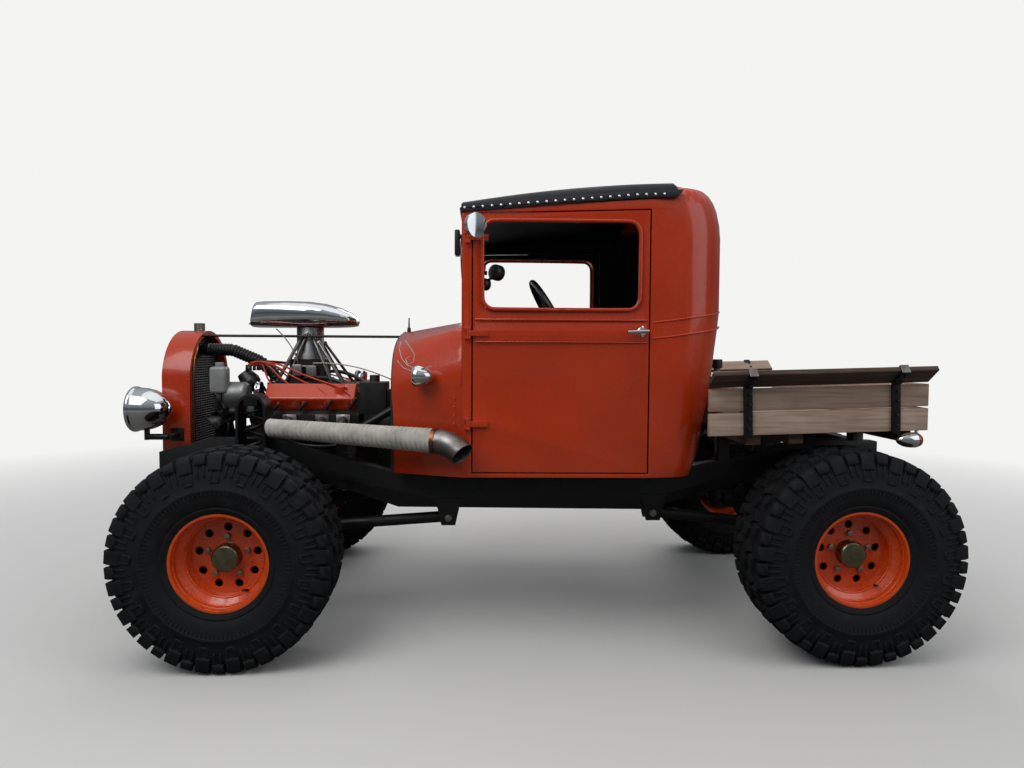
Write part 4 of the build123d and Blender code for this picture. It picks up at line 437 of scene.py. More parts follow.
def plain(name, patch, tones, rough, depth, grain, **shader):
    """A finish whose tones, roughness and relief follow one noise, under a fine grain."""
    made, tree, place = begin(name)
    patches, *fine = fields(tree, place, patch, *([grain[1:]] if grain else []))
    low, high, start, end = (*rough, 0.3, 0.7)[:4]
    layers = [(patches, depth)] * bool(depth) + [(field, grain[0]) for field in fine]
    return close(made, add(tree, "ValToRGB", {"Fac": patches}, stops=tones),
                 add(tree, "MapRange", between(patches, start, end, low, high)), layers, **shader)


# Plain finishes: name; size and detail of the patches; their tones; roughness; depth of the patches in metres;
# depth, size and detail of the grain; fixed values of the shader
PLAIN = {
    # The body's enamel on steel wheels, with splashed dirt
    "wheel": (("wheel_enamel_orange", (0.03, 8.0), ((0.56, "#DC4C0C"), (0.72, "#B83C0E"), (0.9, "#5A3A2A")),
               (0.2, 0.55, 0.4, 0.75), 0.0002, (0.00003, 0.004, 1.0)),
              {"Coat_Weight": 0.6, "Coat_Roughness": 0.1, "IOR": 1.5}),
    # Calendered vinyl cloth: leather grain of about 2 mm, satin, faded a little where it bulges
    "vinyl": (("roof_vinyl", (0.25, 4.0), ((0.3, "roof"), (0.75, "#181B21")), (0.42, 0.6), 0.002,
               (0.0003, 1 / 420, 0.0, "TexVoronoi")), {"Specular_IOR_Level": 0.2}),
    # Upholstery vinyl: black, soft grain, a slight sheen
    "seat": (("seat_vinyl", (0.2, 3.0), ((0.3, "#17171A"), (0.7, "#222226")), (0.5, 0.5), 0.0015,
              (0.00025, 1 / 500, 0.0, "TexVoronoi")), {"Sheen_Weight": 0.15}),
    # Bright chromium plate: a mirror with a breath of haze
    "chrome": (("chromium_plate", (0.06, 5.0), ((0.3, "#D9DBDD"), (0.7, "#C9CCCF")), (0.03, 0.11), 0,
                (0.00025, 0.08, 1.0)), {"Metallic": 1.0}),
    # Turned and welded mild steel: grey, drawn, with a brown bloom
    "steel": (("bare_mild_steel", (0.05, 6.0), ((0.3, "#8F8F90"), (0.62, "#77706A"), (0.85, "#6A4A33")),
               (0.3, 0.55), 0, (0.0001, 0.002, 2.0)), {"Metallic": 1.0}),
    # Sand-cast iron, oily and dark: coarse skin of about 1.5 mm with rust in its hollows
    "iron": (("cast_iron_oily", (0.06, 7.0), ((0.3, "#1D1C1C"), (0.6, "#2E2B28"), (0.8, "#4A3526")),
              (0.42, 0.75), 0.0006, (0.0003, 0.0018, 2.0)), {"Metallic": 0.55}),
    # Moulded tyre rubber: near black, matt, with dry grey-brown road dirt on tips and in the folds
    "tyre": (("tyre_rubber", (0.045, 7.0), ((0.35, "#0C0D10"), (0.58, "#131518"), (0.84, "#2C2925")),
              (0.62, 0.9), 0.0004, (0.0002, 0.0025, 3.0)), {"Specular_IOR_Level": 0.3}),
    # Laminated glass: clear with a faint green, thin and bright at its edge
    "glass": (("window_glass", (0.4, 1.0), ((0.3, "#E9F1EE"), (0.7, "#E2ECE8")), (0.0, 0.03), 0, ()),
              {"Transmission_Weight": 1.0, "IOR": 1.5}),
    # Pressure-cast aluminium: pale grey, dull, a fine skin
    "aluminium": (("cast_aluminium", (0.05, 4.0), ((0.32, "#8E9092"), (0.72, "#73736F")), (0.37, 0.53), 0,
                   (0.0001, 0.0012, 2.0)), {"Metallic": 0.9}),
    # Zinc-plated fasteners: pale, slightly yellow, satin
    "zinc": (("zinc_plate", (0.03, 4.0), ((0.32, "#A7A59B"), (0.72, "#8A8474")), (0.27, 0.43), 0,
              (0.00003, 0.001, 2.0)), {"Metallic": 1.0}),
    # Pressed hub cap of greyed nickel: an olive cast under a worn polish
    "hub": (("worn_nickel", (0.025, 4.0), ((0.32, "#8B8A72"), (0.72, "#6B6852")), (0.22, 0.38), 0,
             (0.00006, 0.001, 2.0)), {"Metallic": 1.0}),
    # Moulded cooling hose: black, soft satin
    "hose": (("hose_rubber", (0.04, 4.0), ((0.32, "#141416"), (0.72, "#232325")), (0.42, 0.58), 0,
              (0.00008, 0.0015, 2.0)), {}),
    # Moulded phenolic plastic: black, satin, a fine texture
    "plastic": (("moulded_plastic_black", (0.05, 4.0), ((0.32, "#101113"), (0.72, "#1A1B1D")), (0.3, 0.46), 0,
                 (0.00004, 0.0009, 2.0)), {}),
    # Blown polyethylene: milky grey and slightly see-through
    "tank": (("blown_polyethylene", (0.06, 4.0), ((0.32, "#9A9B98"), (0.72, "#7F817E")), (0.34, 0.5), 0,
              (0.00008, 0.002, 2.0)), {"Transmission_Weight": 0.15}),
    # Silicone ignition lead: orange-red, soft satin
    "lead": (("lead_silicone_orange", (0.03, 4.0), ((0.32, "#C2391B"), (0.72, "#A93015")), (0.37, 0.53), 0,
              (0.00003, 0.001, 2.0)), {}),
    # Copper band, browned by heat
    "copper": (("heated_copper", (0.02, 4.0), ((0.32, "#A4673F"), (0.72, "#6E4028")), (0.27, 0.43), 0,
                (0.00005, 0.001, 2.0)), {"Metallic": 1.0}),
    # Sheet steel tank in hammered silver paint
    "tank_paint": (("tank_silver_paint", (0.1, 4.0), ((0.32, "#8B8D8F"), (0.72, "#75777A")), (0.3, 0.46), 0,
                    (0.0002, 0.006, 2.0)), {"Metallic": 0.6}),
    # Rubber mat on the cab's floor, dusty
    "mat": (("floor_rubber", (0.08, 4.0), ((0.32, "#161616"), (0.72, "#2C2925")), (0.67, 0.83), 0,
             (0.0003, 0.003, 2.0)), {}),
    # Near-black matt finish on faces inside the cab, the doors and the air scoop: dark and even
    "near_black_inside": (("inner_faces_near_black", (0.1, 4.0), ((0.32, "#0D0D0E"), (0.72, "#161515")), (0.77, 0.93), 0,
                (0.0004, 0.004, 2.0)), {}),
    # Printed dial: matt white with a soft grey wash
    "dial": (("dial_white", (0.03, 4.0), ((0.32, "#D8D6CC"), (0.72, "#C9C6BA")), (0.42, 0.58), 0,
              (0.00008, 0.0016, 2.0)), {}),
    # Lettering enamel laid by brush: pale silver, slightly uneven
    "stripe": (("pinstripe_silver", (0.02, 4.0), ((0.32, "#B9B4AE"), (0.72, "#9D978F")), (0.27, 0.43), 0,
                (0.00003, 0.001, 2.0)), {}),
}


def dusty(name, tones, dust, rough, reach, amount, peel, depth, **shader):
    """Paint that carries road dust on its lower part, between two heights."""
    made, tree, place = begin(name)
    patches, film, texture = fields(tree, place, (0.35, 3.0), (0.05, 6.0), (peel, 1.0))
    settled = add(tree, "MapRange", between(add(tree, "SeparateXYZ", {"Vector": place}, "Z"), *reach, amount, 0.0))
    share = add(tree, "Math", {0: settled, 1: add(tree, "MapRange", between(film, 0.35, 0.75, 0.1, 1.0))},
                operation="MULTIPLY")
    colour = add(tree, "Mix", {0: share, 6: add(tree, "ValToRGB", {"Fac": patches}, stops=tones),
                               7: linear(dust)}, 2, data_type="RGBA")
    gloss = add(tree, "MapRange", between(film, 0.3, 0.7, rough - 0.04, rough + 0.05))
    rough = add(tree, "Math", {0: share, 1: gloss}, operation="ADD")
    return close(made, colour, rough, [(texture, depth)], **shader)


def exhaust_tape():
    """Woven fibreglass tape: beige, with 3 mm weave and grey soot; matt as cloth."""
    made, tree, place = begin("fibreglass_tape")
    soot, = fields(tree, place, (0.05, 5.0))
    warp, weft = (add(tree, "TexWave", {"Vector": place, "Scale": 100.0, "Distortion": 0.4}, "Fac",
                      bands_direction=direction) for direction in ("X", "DIAGONAL"))
    weave = add(tree, "Math", {0: warp, 1: weft}, operation="MULTIPLY")
    colour = add(tree, "ValToRGB", {"Fac": soot}, stops=((0.3, "wrap"), (0.62, "#ABA69D"), (0.85, "#6C6861")))
    return close(made, colour, 0.9, [(soot, 0.001), (weave, 0.0006)], Sheen_Weight=0.2)


def board_wood(name, first, second, third, stretch=(0.05, 1.0, 1.0)):
    """Sawn pine weathered in the open: grey-brown, the grain along the board, each board in its own tone."""
    made, tree, place = begin(name)
    own = add(tree, "Attribute", out="Fac", attribute_name="plank_tone")
    shift = add(tree, "CombineXYZ", {"X": own, "Y": own, "Z": own})
    shifted = add(tree, "VectorMath", {0: place, 1: shift}, operation="ADD")
    drawn = add(tree, "Mapping", {"Vector": shifted, "Scale": stretch})
    grain, fibre = fields(tree, drawn, (0.012, 6.0), (0.003, 3.0))
    patch, = fields(tree, shifted, (0.16, 3.0))
    tone = add(tree, "ValToRGB", {"Fac": grain}, stops=((0.3, first), (0.52, second), (0.74, third)))
    worn = add(tree, "Mix", {0: add(tree, "MapRange", between(patch, 0.35, 0.75, 0.0, 0.6)), 6: tone,
                             7: linear(third)}, 2, data_type="RGBA")
    shade = add(tree, "ValToRGB", {"Fac": own}, stops=((0.0, "#D3CFCA"), (1.0, "#F0EDEA")))
    colour = add(tree, "Mix", {0: 1.0, 6: worn, 7: shade}, 2, data_type="RGBA", blend_type="MULTIPLY")
    rough = add(tree, "MapRange", between(fibre, 0.3, 0.7, 0.72, 0.92))
    return close(made, colour, rough, [(grain, 0.0012), (fibre, 0.0005)], Specular_IOR_Level=0.3)


def lens(name, *tones):
    """Pressed lamp glass with ribs of about 6 mm."""
    made, tree, place = begin(name)
    tint, haze = fields(tree, place, (0.05, 2.0), (0.02, 2.0))
    ribs = add(tree, "TexWave", {"Vector": place, "Scale": 26.0}, "Fac", bands_direction="Y")
    return close(made, add(tree, "ValToRGB", {"Fac": tint}, stops=tuple(zip((0.3, 0.7), tones))),
                 add(tree, "MapRange", between(haze, 0.3, 0.7, 0.05, 0.16)), [(ribs, 0.001)],
                 Transmission_Weight=0.75, IOR=1.5, Coat_Weight=0.5)


def core_fins():
    """Painted radiator core: black brass fins of 3 mm pitch, drawn at 6 mm so that they show."""
    made, tree, place = begin("radiator_fins")
    fins, tubes = (add(tree, "TexWave", {"Vector": place, "Scale": scale}, "Fac", bands_direction=direction)
                   for scale, direction in ((26.0, "Z"), (14.0, "Y")))
    colour = add(tree, "ValToRGB", {"Fac": tubes}, stops=((0.2, "#0E0E0E"), (0.8, "#2A2A2A")))
    return close(made, colour, 0.5, [(fins, 0.003), (tubes, 0.003)], Metallic=0.6)


# The other finishes, each with what makes it
PATTERNED = {
    # Sprayed synthetic enamel: deep orange with a wet clear skin, faint orange peel and dust near the sills
    "enamel": lambda: dusty("sprayed_enamel_orange", ((0.3, "body"), (0.7, "body_shade")), "#5E4638", 0.26,
                            (0.72, 0.92), 0.22, 0.0035, 0.00003, Coat_Weight=0.4, Coat_Roughness=0.07, IOR=1.45),
    # Brushed chassis black: satin, with pale road dust low down and on its blotches
    "frame": lambda: dusty("chassis_black", ((0.3, "#0B0C0E"), (0.7, "#131315")), "#33302D", 0.4, (0.3, 1.0),
                           0.3, 0.006, 0.00012, Specular_IOR_Level=0.4),
    # Pine of the bed's sides, greyed by the weather; the same pine across the vehicle; and a darker pine that is
    # painted shade on the flared boards' undersides and beneath the bed's floor
    "board": lambda: board_wood("weathered_pine", "board", "#C2A999", "#9F8878"),
    "cross": lambda: board_wood("weathered_pine_across", "board", "#C2A999", "#9F8878", (1.0, 0.05, 1.0)),
    "shade_pine": lambda: board_wood("pine_painted_shade", "#7C685C", "#604F46", "#483B34"),
    "tape": exhaust_tape,
    "fins": core_fins,
    # Lamp glass in the colours of head, marker and warning lamps
    "clear": lambda: lens("lamp_glass_clear", "#E6EAEC", "#D5DBDE"),
    "amber": lambda: lens("lamp_glass_amber", "#D9641A", "#C4500F"),
    "ruby": lambda: lens("lamp_glass_red", "#A81412", "#8A0D0C"),
}
MATERIALS = {}


def finish(name):
    """A finish by its short name, made the first time it is asked for."""
    if name not in MATERIALS:
        if name in PLAIN:
            row, shader = PLAIN[name]
            MATERIALS[name] = plain(*row, **shader)
        else:
            MATERIALS[name] = PATTERNED[name]()
    return MATERIALS[name]


# Pieces
def seen(tree):
    """One for the rays that the camera sees, straight or through glass."""
    straight, through = (add(tree, "LightPath", out=name) for name in ("Is Camera Ray", "Is Transmission Ray"))
    return add(tree, "Math", {0: straight, 1: through}, operation="MAXIMUM")


class HOTROD_OT_stage(bpy.types.Operator):
    """Set the camera, the pale floor and the soft studio light"""
    bl_idname = "hotrod.stage"
    bl_label = "Studio Stage"

    CAMERA = (-0.1656, -3.6726, 1.2655)
    YAW, PITCH, ROLL = -0.0392, 0.0462, 0.0056
    LENS = 24.96
    # Place, aim, size in metres and power in watts
    LAMPS = {
        "key": ((-2.6, -3.4, 4.6), (-0.2, 0, 1.0), 3.4, 112.0),
        "fill": ((4.2, -3.2, 3.0), (0.2, 0, 0.9), 3.6, 46.0),
        "rim": ((0.8, 4.2, 3.8), (0, 0, 1.2), 3.2, 62.0),
        "top": ((0, 0, 4.8), (0, 0, 0.5), 4.5, 44.0),
    }
    PAPER, SHADE = "#F4F4F3", "#6A6864"

    def execute(self, context):
        bpy.ops.object.camera_add(location=self.CAMERA)
        camera = context.object
        aim = (Matrix.Rotation(self.YAW, 3, "Z") @ Matrix.Rotation(pi / 2 - self.PITCH, 3, "X")
               @ Matrix.Rotation(self.ROLL, 3, "Z"))
        camera.matrix_world = Matrix.LocRotScale(camera.location, aim, None)
        camera.data.lens = self.LENS
        camera.data.sensor_width = 36
        context.scene.camera = camera
        self.floor()
        self.sky(context)
        for name, (place, aim, size, power) in self.LAMPS.items():
            bpy.ops.object.light_add(type="AREA", location=place)
            lamp = context.object
            lamp.name = name
            lamp.data.shape = "SQUARE"
            lamp.data.size = size
            lamp.data.energy = power
            lamp.rotation_mode = "QUATERNION"
            lamp.rotation_quaternion = (Vector(aim) - Vector(place)).to_track_quat("-Z", "Y")
        return {"FINISHED"}

    def floor(self):
        """Pale ground that keeps the shadow and fades into the white behind."""
        bpy.ops.mesh.primitive_circle_add(vertices=96, radius=16, fill_type="NGON", location=(0, 0, 0))
        ground = bpy.context.object
        ground.name = "studio_floor"
        made, tree, place = begin("studio_floor_pale")
        far = add(tree, "VectorMath", {0: place}, "Value", operation="LENGTH")
        visible = seen(tree)
        tone = add(tree, "Mix", {0: visible, 6: linear(self.SHADE), 7: linear("#DAD9D6")}, 2, data_type="RGBA")
        glow = add(tree, "MapRange", between(visible, 0.0, 1.0, 0.25, 1.0))
        out = add(tree, "MixShader", {
            "Fac": add(tree, "MapRange", between(far, 2.6, 7.5, 0.0, 1.0)),
            1: add(tree, "BsdfDiffuse", {"Color": tone}),
            2: add(tree, "Emission", {"Color": linear(self.PAPER), "Strength": glow})})
        add(tree, "OutputMaterial", {"Surface": out})
        ground.data.materials.append(made)

    def sky(self, context):
        """Pale world: white to the camera, softer and banded as a light."""
        world = bpy.data.worlds.new("studio_sky")
        world.use_nodes = True
        context.scene.world = world
        tree = world.node_tree
        tree.nodes.clear()
        up = add(tree, "SeparateXYZ", {"Vector": add(tree, "TexCoord", out="Generated")}, "Z")
        horizon = add(tree, "ValToRGB", {"Fac": add(tree, "MapRange", between(up, -0.3, 1.0, 0.0, 1.0))},
                      stops=((0.0, self.SHADE), (0.23, "#7F8182"), (0.3, "#5C6167"), (0.42, "#9AA2AB"),
                             (1.0, "#F2F4F6")))
        out = add(tree, "MixShader", {
            "Fac": seen(tree),
            1: add(tree, "Background", {"Color": horizon, "Strength": 0.62}),
            2: add(tree, "Background", {"Color": linear(self.PAPER), "Strength": 1.0})})
        add(tree, "OutputWorld", {"Surface": out})
        context.scene.view_settings.view_transform = "Standard"


class HOTROD_OT_finishes(bpy.types.Operator):
    """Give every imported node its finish"""
    bl_idname = "hotrod.finishes"
    bl_label = "Finishes"

    def execute(self, context):
        looks = {node: row[0] for node, row in SKIN_OF.items()}
        looks.update({node: look for look, nodes in OTHERS.items() for node in nodes.split()})
        for node, look in looks.items():
            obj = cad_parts[node]
            if not obj.data.materials:
                obj.data.materials.append(None)
            for slot in obj.material_slots:
                slot.material = finish(look)
        return {"FINISHED"}


class HOTROD_OT_wheels(bpy.types.Operator):
    """Pressed steel wheels: deep dishes, nine holes, five nuts and a hub cap"""
    bl_idname = "hotrod.wheels"
    bl_label = "Wheels"

    CAP, NUTS = 0.056, 0.1
    # Rolled steps in the barrel: radius, section and distance from the vehicle's middle
    STEPS = ((0.1832, 0.0036, 0.902), (0.1822, 0.0048, 0.8755), (0.1545, 0.0042, 0.8555))

    def execute(self, context):
        for corner in CORNERS:
            wheel = "wheel_" + corner
            centre = middle(wheel)
            way = 1 if centre.y > 0 else -1
            self.metalwork(skin(wheel), centre)
            rings = [ring(radius, section, (centre.x, way * y, centre.z), (0, 1, 0), 96, 8)
                     for radius, section, y in self.STEPS]
            dress(f"rim_steps_{corner}", rings, "wheel", "enamel", wheel, 60)
            foot = Vector((centre.x + 0.09, way * 0.857, centre.z - 0.125))
            tip = Vector((centre.x + 0.083, way * 0.888, centre.z - 0.115))
            valve = [bar(foot, tip, 0.0055, 0.0042, 16),
                     bar(foot.lerp(tip, 0.8), foot.lerp(tip, 1.15), 0.0052, 0.005, 16, 0.001)]
            dress(f"valve_{corner}", valve, "hose", "rubber", wheel)
        return {"FINISHED"}

    def metalwork(self, made, centre):
        """Hub cap and nuts in bare metal, found by their distance from the axle."""
        for look in ("hub", "zinc"):
            made.data.materials.append(finish(look))
        for face in made.data.polygons:
            corners = [made.data.vertices[number].co for number in face.vertices]
            away = max(hypot(corner.x - centre.x, corner.z - centre.z) for corner in corners)
            if min(abs(corner.y) for corner in corners) > 0.80:
                if away < self.CAP:
                    face.material_index = 1
                elif away < self.NUTS and abs(face.center.y) > 0.812:
                    face.material_index = 2


class HOTROD_OT_tyres(bpy.types.Operator):
    """Mud tyres: a bulged casing with three staggered rows of lugs and shoulder lugs that wrap over its edge"""
    bl_idname = "hotrod.tyres"
    bl_label = "Tyres"

    RADIUS = 0.4375
    # Crown lugs of one pitch: share of the pitch, distance from the middle, length, width, slant, drop
    CROWN = ((0.02, 0.018, 0.056, 0.052, 0.42, 0.0), (0.40, 0.064, 0.046, 0.046, -0.22, 0.0),
             (0.00, 0.1085, 0.056, 0.048, 0.1, 0.0045))
    # Sections of the raised pieces on shoulder and side, as radius and distance from the tyre's middle
    LONG = ((0.362, 0.1475), (0.372, 0.1535), (0.412, 0.1475), (0.430, 0.1375), (0.4315, 0.118), (0.404, 0.112),
            (0.39, 0.128))
    SHORT = ((0.386, 0.1395), (0.396, 0.1505), (0.412, 0.1475), (0.4295, 0.1375), (0.431, 0.118), (0.404, 0.112),
             (0.395, 0.128))
    RIB = ((0.340, 0.1525), (0.346, 0.1562), (0.372, 0.1508), (0.392, 0.1445), (0.392, 0.1345), (0.346, 0.1475))
    LOW_RIB = ((0.322, 0.1545), (0.328, 0.1582), (0.350, 0.1545), (0.370, 0.1495), (0.370, 0.1405), (0.328, 0.1495))
    COMB = ((0.262, 0.1535), (0.266, 0.1568), (0.286, 0.159), (0.288, 0.154))
    FOOT = ((0.318, 0.155), (0.321, 0.1588), (0.329, 0.158), (0.332, 0.154), (0.328, 0.148), (0.321, 0.149))
    # Section of the casing from its bead outwards, and of its inside
    OUTSIDE = ((0.1935, 0.1295), (0.2, 0.1325), (0.2115, 0.139), (0.2165, 0.1405), (0.222, 0.1385), (0.236, 0.1475),
               (0.262, 0.1545), (0.287, 0.1568), (0.29, 0.159), (0.297, 0.159), (0.3, 0.1568), (0.33, 0.1545),
               (0.352, 0.1505), (0.372, 0.1455), (0.392, 0.1375), (0.405, 0.1275))
    INSIDE = ((0.196, 0.1205), (0.232, 0.135), (0.293, 0.14), (0.368, 0.128), (0.401, 0.104), (0.409, 0.038))

    def execute(self, context):
        centre = middle("tyre_front_left")
        tyre = dress("tyre_front_left_moulded", [self.casing(centre), self.tread(centre)], "tyre", "tyre",
                     "wheel_front_left", 34)
        for corner in CORNERS[1:]:
            pick(tyre)
            bpy.ops.object.duplicate()
            place = middle("tyre_" + corner)
            context.object.location = (place.x - centre.x, place.y - centre.y, 0)
            other = dress(f"tyre_{corner}_moulded", context.object, "tyre", "tyre", "wheel_" + corner, 34)
            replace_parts(other, "tyre_" + corner)
        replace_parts(tyre, "tyre_front_left")
        return {"FINISHED"}

    def casing(self, centre):
        """Casing's skin, inside and out, spun from its section."""
        crown = self.RADIUS - sizes().lug_depth
        outside = [*self.OUTSIDE, (crown - 0.0055, 0.116), (crown - 0.0015, 0.09), (crown, 0.05), (crown + 0.0005, 0)]
        section = [(radius, -wide) for radius, wide in outside] + outside[-2::-1] + list(self.INSIDE)
        section += [(radius, -wide) for radius, wide in self.INSIDE[::-1]]
        return turn(section, centre, (0, 1, 0), steps=120, closed=True)

    def tread(self, centre):
        """One pitch of lugs, then its copies round the tyre."""
        pitches = sizes().lug_pitches
        step = 2 * pi / pitches
        lugs = []
        for side in WAYS:
            start = max(side, 0) * step / 2
            for share, y, long, wide, slant, drop in self.CROWN:
                lugs.append(self.lug(centre, start + share * step, side * y, long, wide, side * slant, drop))
            for share, rows, long, rib in ((0.0, self.LONG, 0.052, self.LOW_RIB), (0.5, self.SHORT, 0.044, self.RIB)):
                at = start + share * step
                lugs.append(self.prism(centre, at, side, long, rows))
                lugs += [self.prism(centre, at + edge * (long / 2 - 0.007) / self.RADIUS, side, 0.0085, rib)
                         for edge in WAYS]
            lugs.append(self.prism(centre, start, side, 0.034, self.FOOT))
            lugs += [self.prism(centre, start + 0.2 * number * step, side, 0.0045, self.COMB) for number in range(5)]
        pitch = joined(lugs)
        soften(pitch, 0.0022, 1, 40)
        made = []
        for number in range(pitches):
            pick(pitch)
            bpy.ops.object.duplicate()
            bpy.ops.transform.rotate(value=step * number, orient_axis="Y", center_override=centre)
            made.append(bpy.context.object)
        pick(pitch)
        bpy.ops.object.delete()
        return bake_place(joined(made))

    def lug(self, centre, angle, y, long, wide, slant, drop):
        """One block of rubber on the crown, narrower at its top, turned by its slant and placed round the tyre."""
        half = 0.42 * (long * cos(slant) + wide * abs(sin(slant)))
        top = (self.RADIUS ** 2 - half ** 2) ** 0.5 - drop
        foot = self.RADIUS - sizes().lug_depth - 0.006
        bpy.ops.mesh.primitive_cube_add(size=1, location=(0, 0, 0))
        made = bpy.context.object
        made.scale = (long, wide, top - foot)
        bake_place(made)
        with editing(made) as mesh:
            bpy.ops.transform.rotate(value=slant, orient_axis="Z", center_override=(0, 0, 0))
            bpy.ops.mesh.select_mode(type="FACE")
            bpy.ops.mesh.select_all(action="DESELECT")
            for face in mesh.faces:
                if face.normal.z > 0.9:
                    face.select_set(True)
            bpy.ops.transform.resize(value=(0.84, 0.84, 1))
            bpy.ops.mesh.select_all(action="SELECT")
            bpy.ops.transform.translate(value=(0, y, (top + foot) / 2))
        self.place(made, angle, centre)
        return made

    def prism(self, centre, angle, side, long, rows):
        """A raised piece of the shoulder or the side: a section of radius and width rows, as long as it is given."""
        bpy.ops.mesh.primitive_circle_add(vertices=len(rows), radius=1, fill_type="NGON", location=(0, 0, 0))
        made = bpy.context.object
        with editing(made) as mesh:
            mesh.verts.ensure_lookup_table()
            for vertex, (radius, wide) in zip(mesh.verts, rows):
                vertex.co = (-long / 2, side * wide, radius)
            bpy.ops.mesh.extrude_region_move(TRANSFORM_OT_translate={"value": (long, 0, 0)})
            bpy.ops.mesh.select_all(action="SELECT")
            bpy.ops.mesh.normals_make_consistent(inside=False)
        self.place(made, angle, centre)
        return made

    def place(self, made, angle, centre):
        """Turn a lug round the tyre and move it to the axle's line."""
        with editing(made):
            bpy.ops.transform.rotate(value=angle, orient_axis="Y", center_override=(0, 0, 0))
            bpy.ops.transform.translate(value=centre)


class HOTROD_OT_springs(bpy.types.Operator):
    """Wound coil springs on their seats"""
    bl_idname = "hotrod.springs"
    bl_label = "Coil Springs"

    TURNS, STEPS = 7, 24

    def execute(self, context):
        springs = [self.coil(end, way) for end in WAYS for way in WAYS]
        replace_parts(dress("coil_springs_wound", springs, "frame", "spring_steel", angle=60), "coil_springs")
        return {"FINISHED"}

    def coil(self, end, way):
        """The spring of one corner: a wire's section spun about the spring's line while it climbs."""
        wire = sizes().spring_wire
        packed = [vertex.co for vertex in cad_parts["coil_springs"].data.vertices
                  if vertex.co.x * end > 0 and vertex.co.y * way > 0]
        low, high = (Vector([limit(co[axis] for co in packed) for axis in range(3)]) for limit in (min, max))
        x, y, _ = (low + high) / 2
        bpy.ops.mesh.primitive_circle_add(vertices=10, radius=wire, fill_type="NGON", rotation=(pi / 2, 0, 0),
                                          location=(x + (high.x - low.x) / 2 - wire, y, low.z + wire))
        made = bake_place(bpy.context.object)
        bpy.ops.object.empty_add(location=(x, y, 0))
        axis = bpy.context.object
        modify(made, "SCREW", axis="Z", angle=2 * pi * self.TURNS, screw_offset=high.z - low.z - 2 * wire,
               steps=self.TURNS * self.STEPS, render_steps=self.TURNS * self.STEPS, object=axis)
        bpy.data.objects.remove(axis)
        return outwards(made)


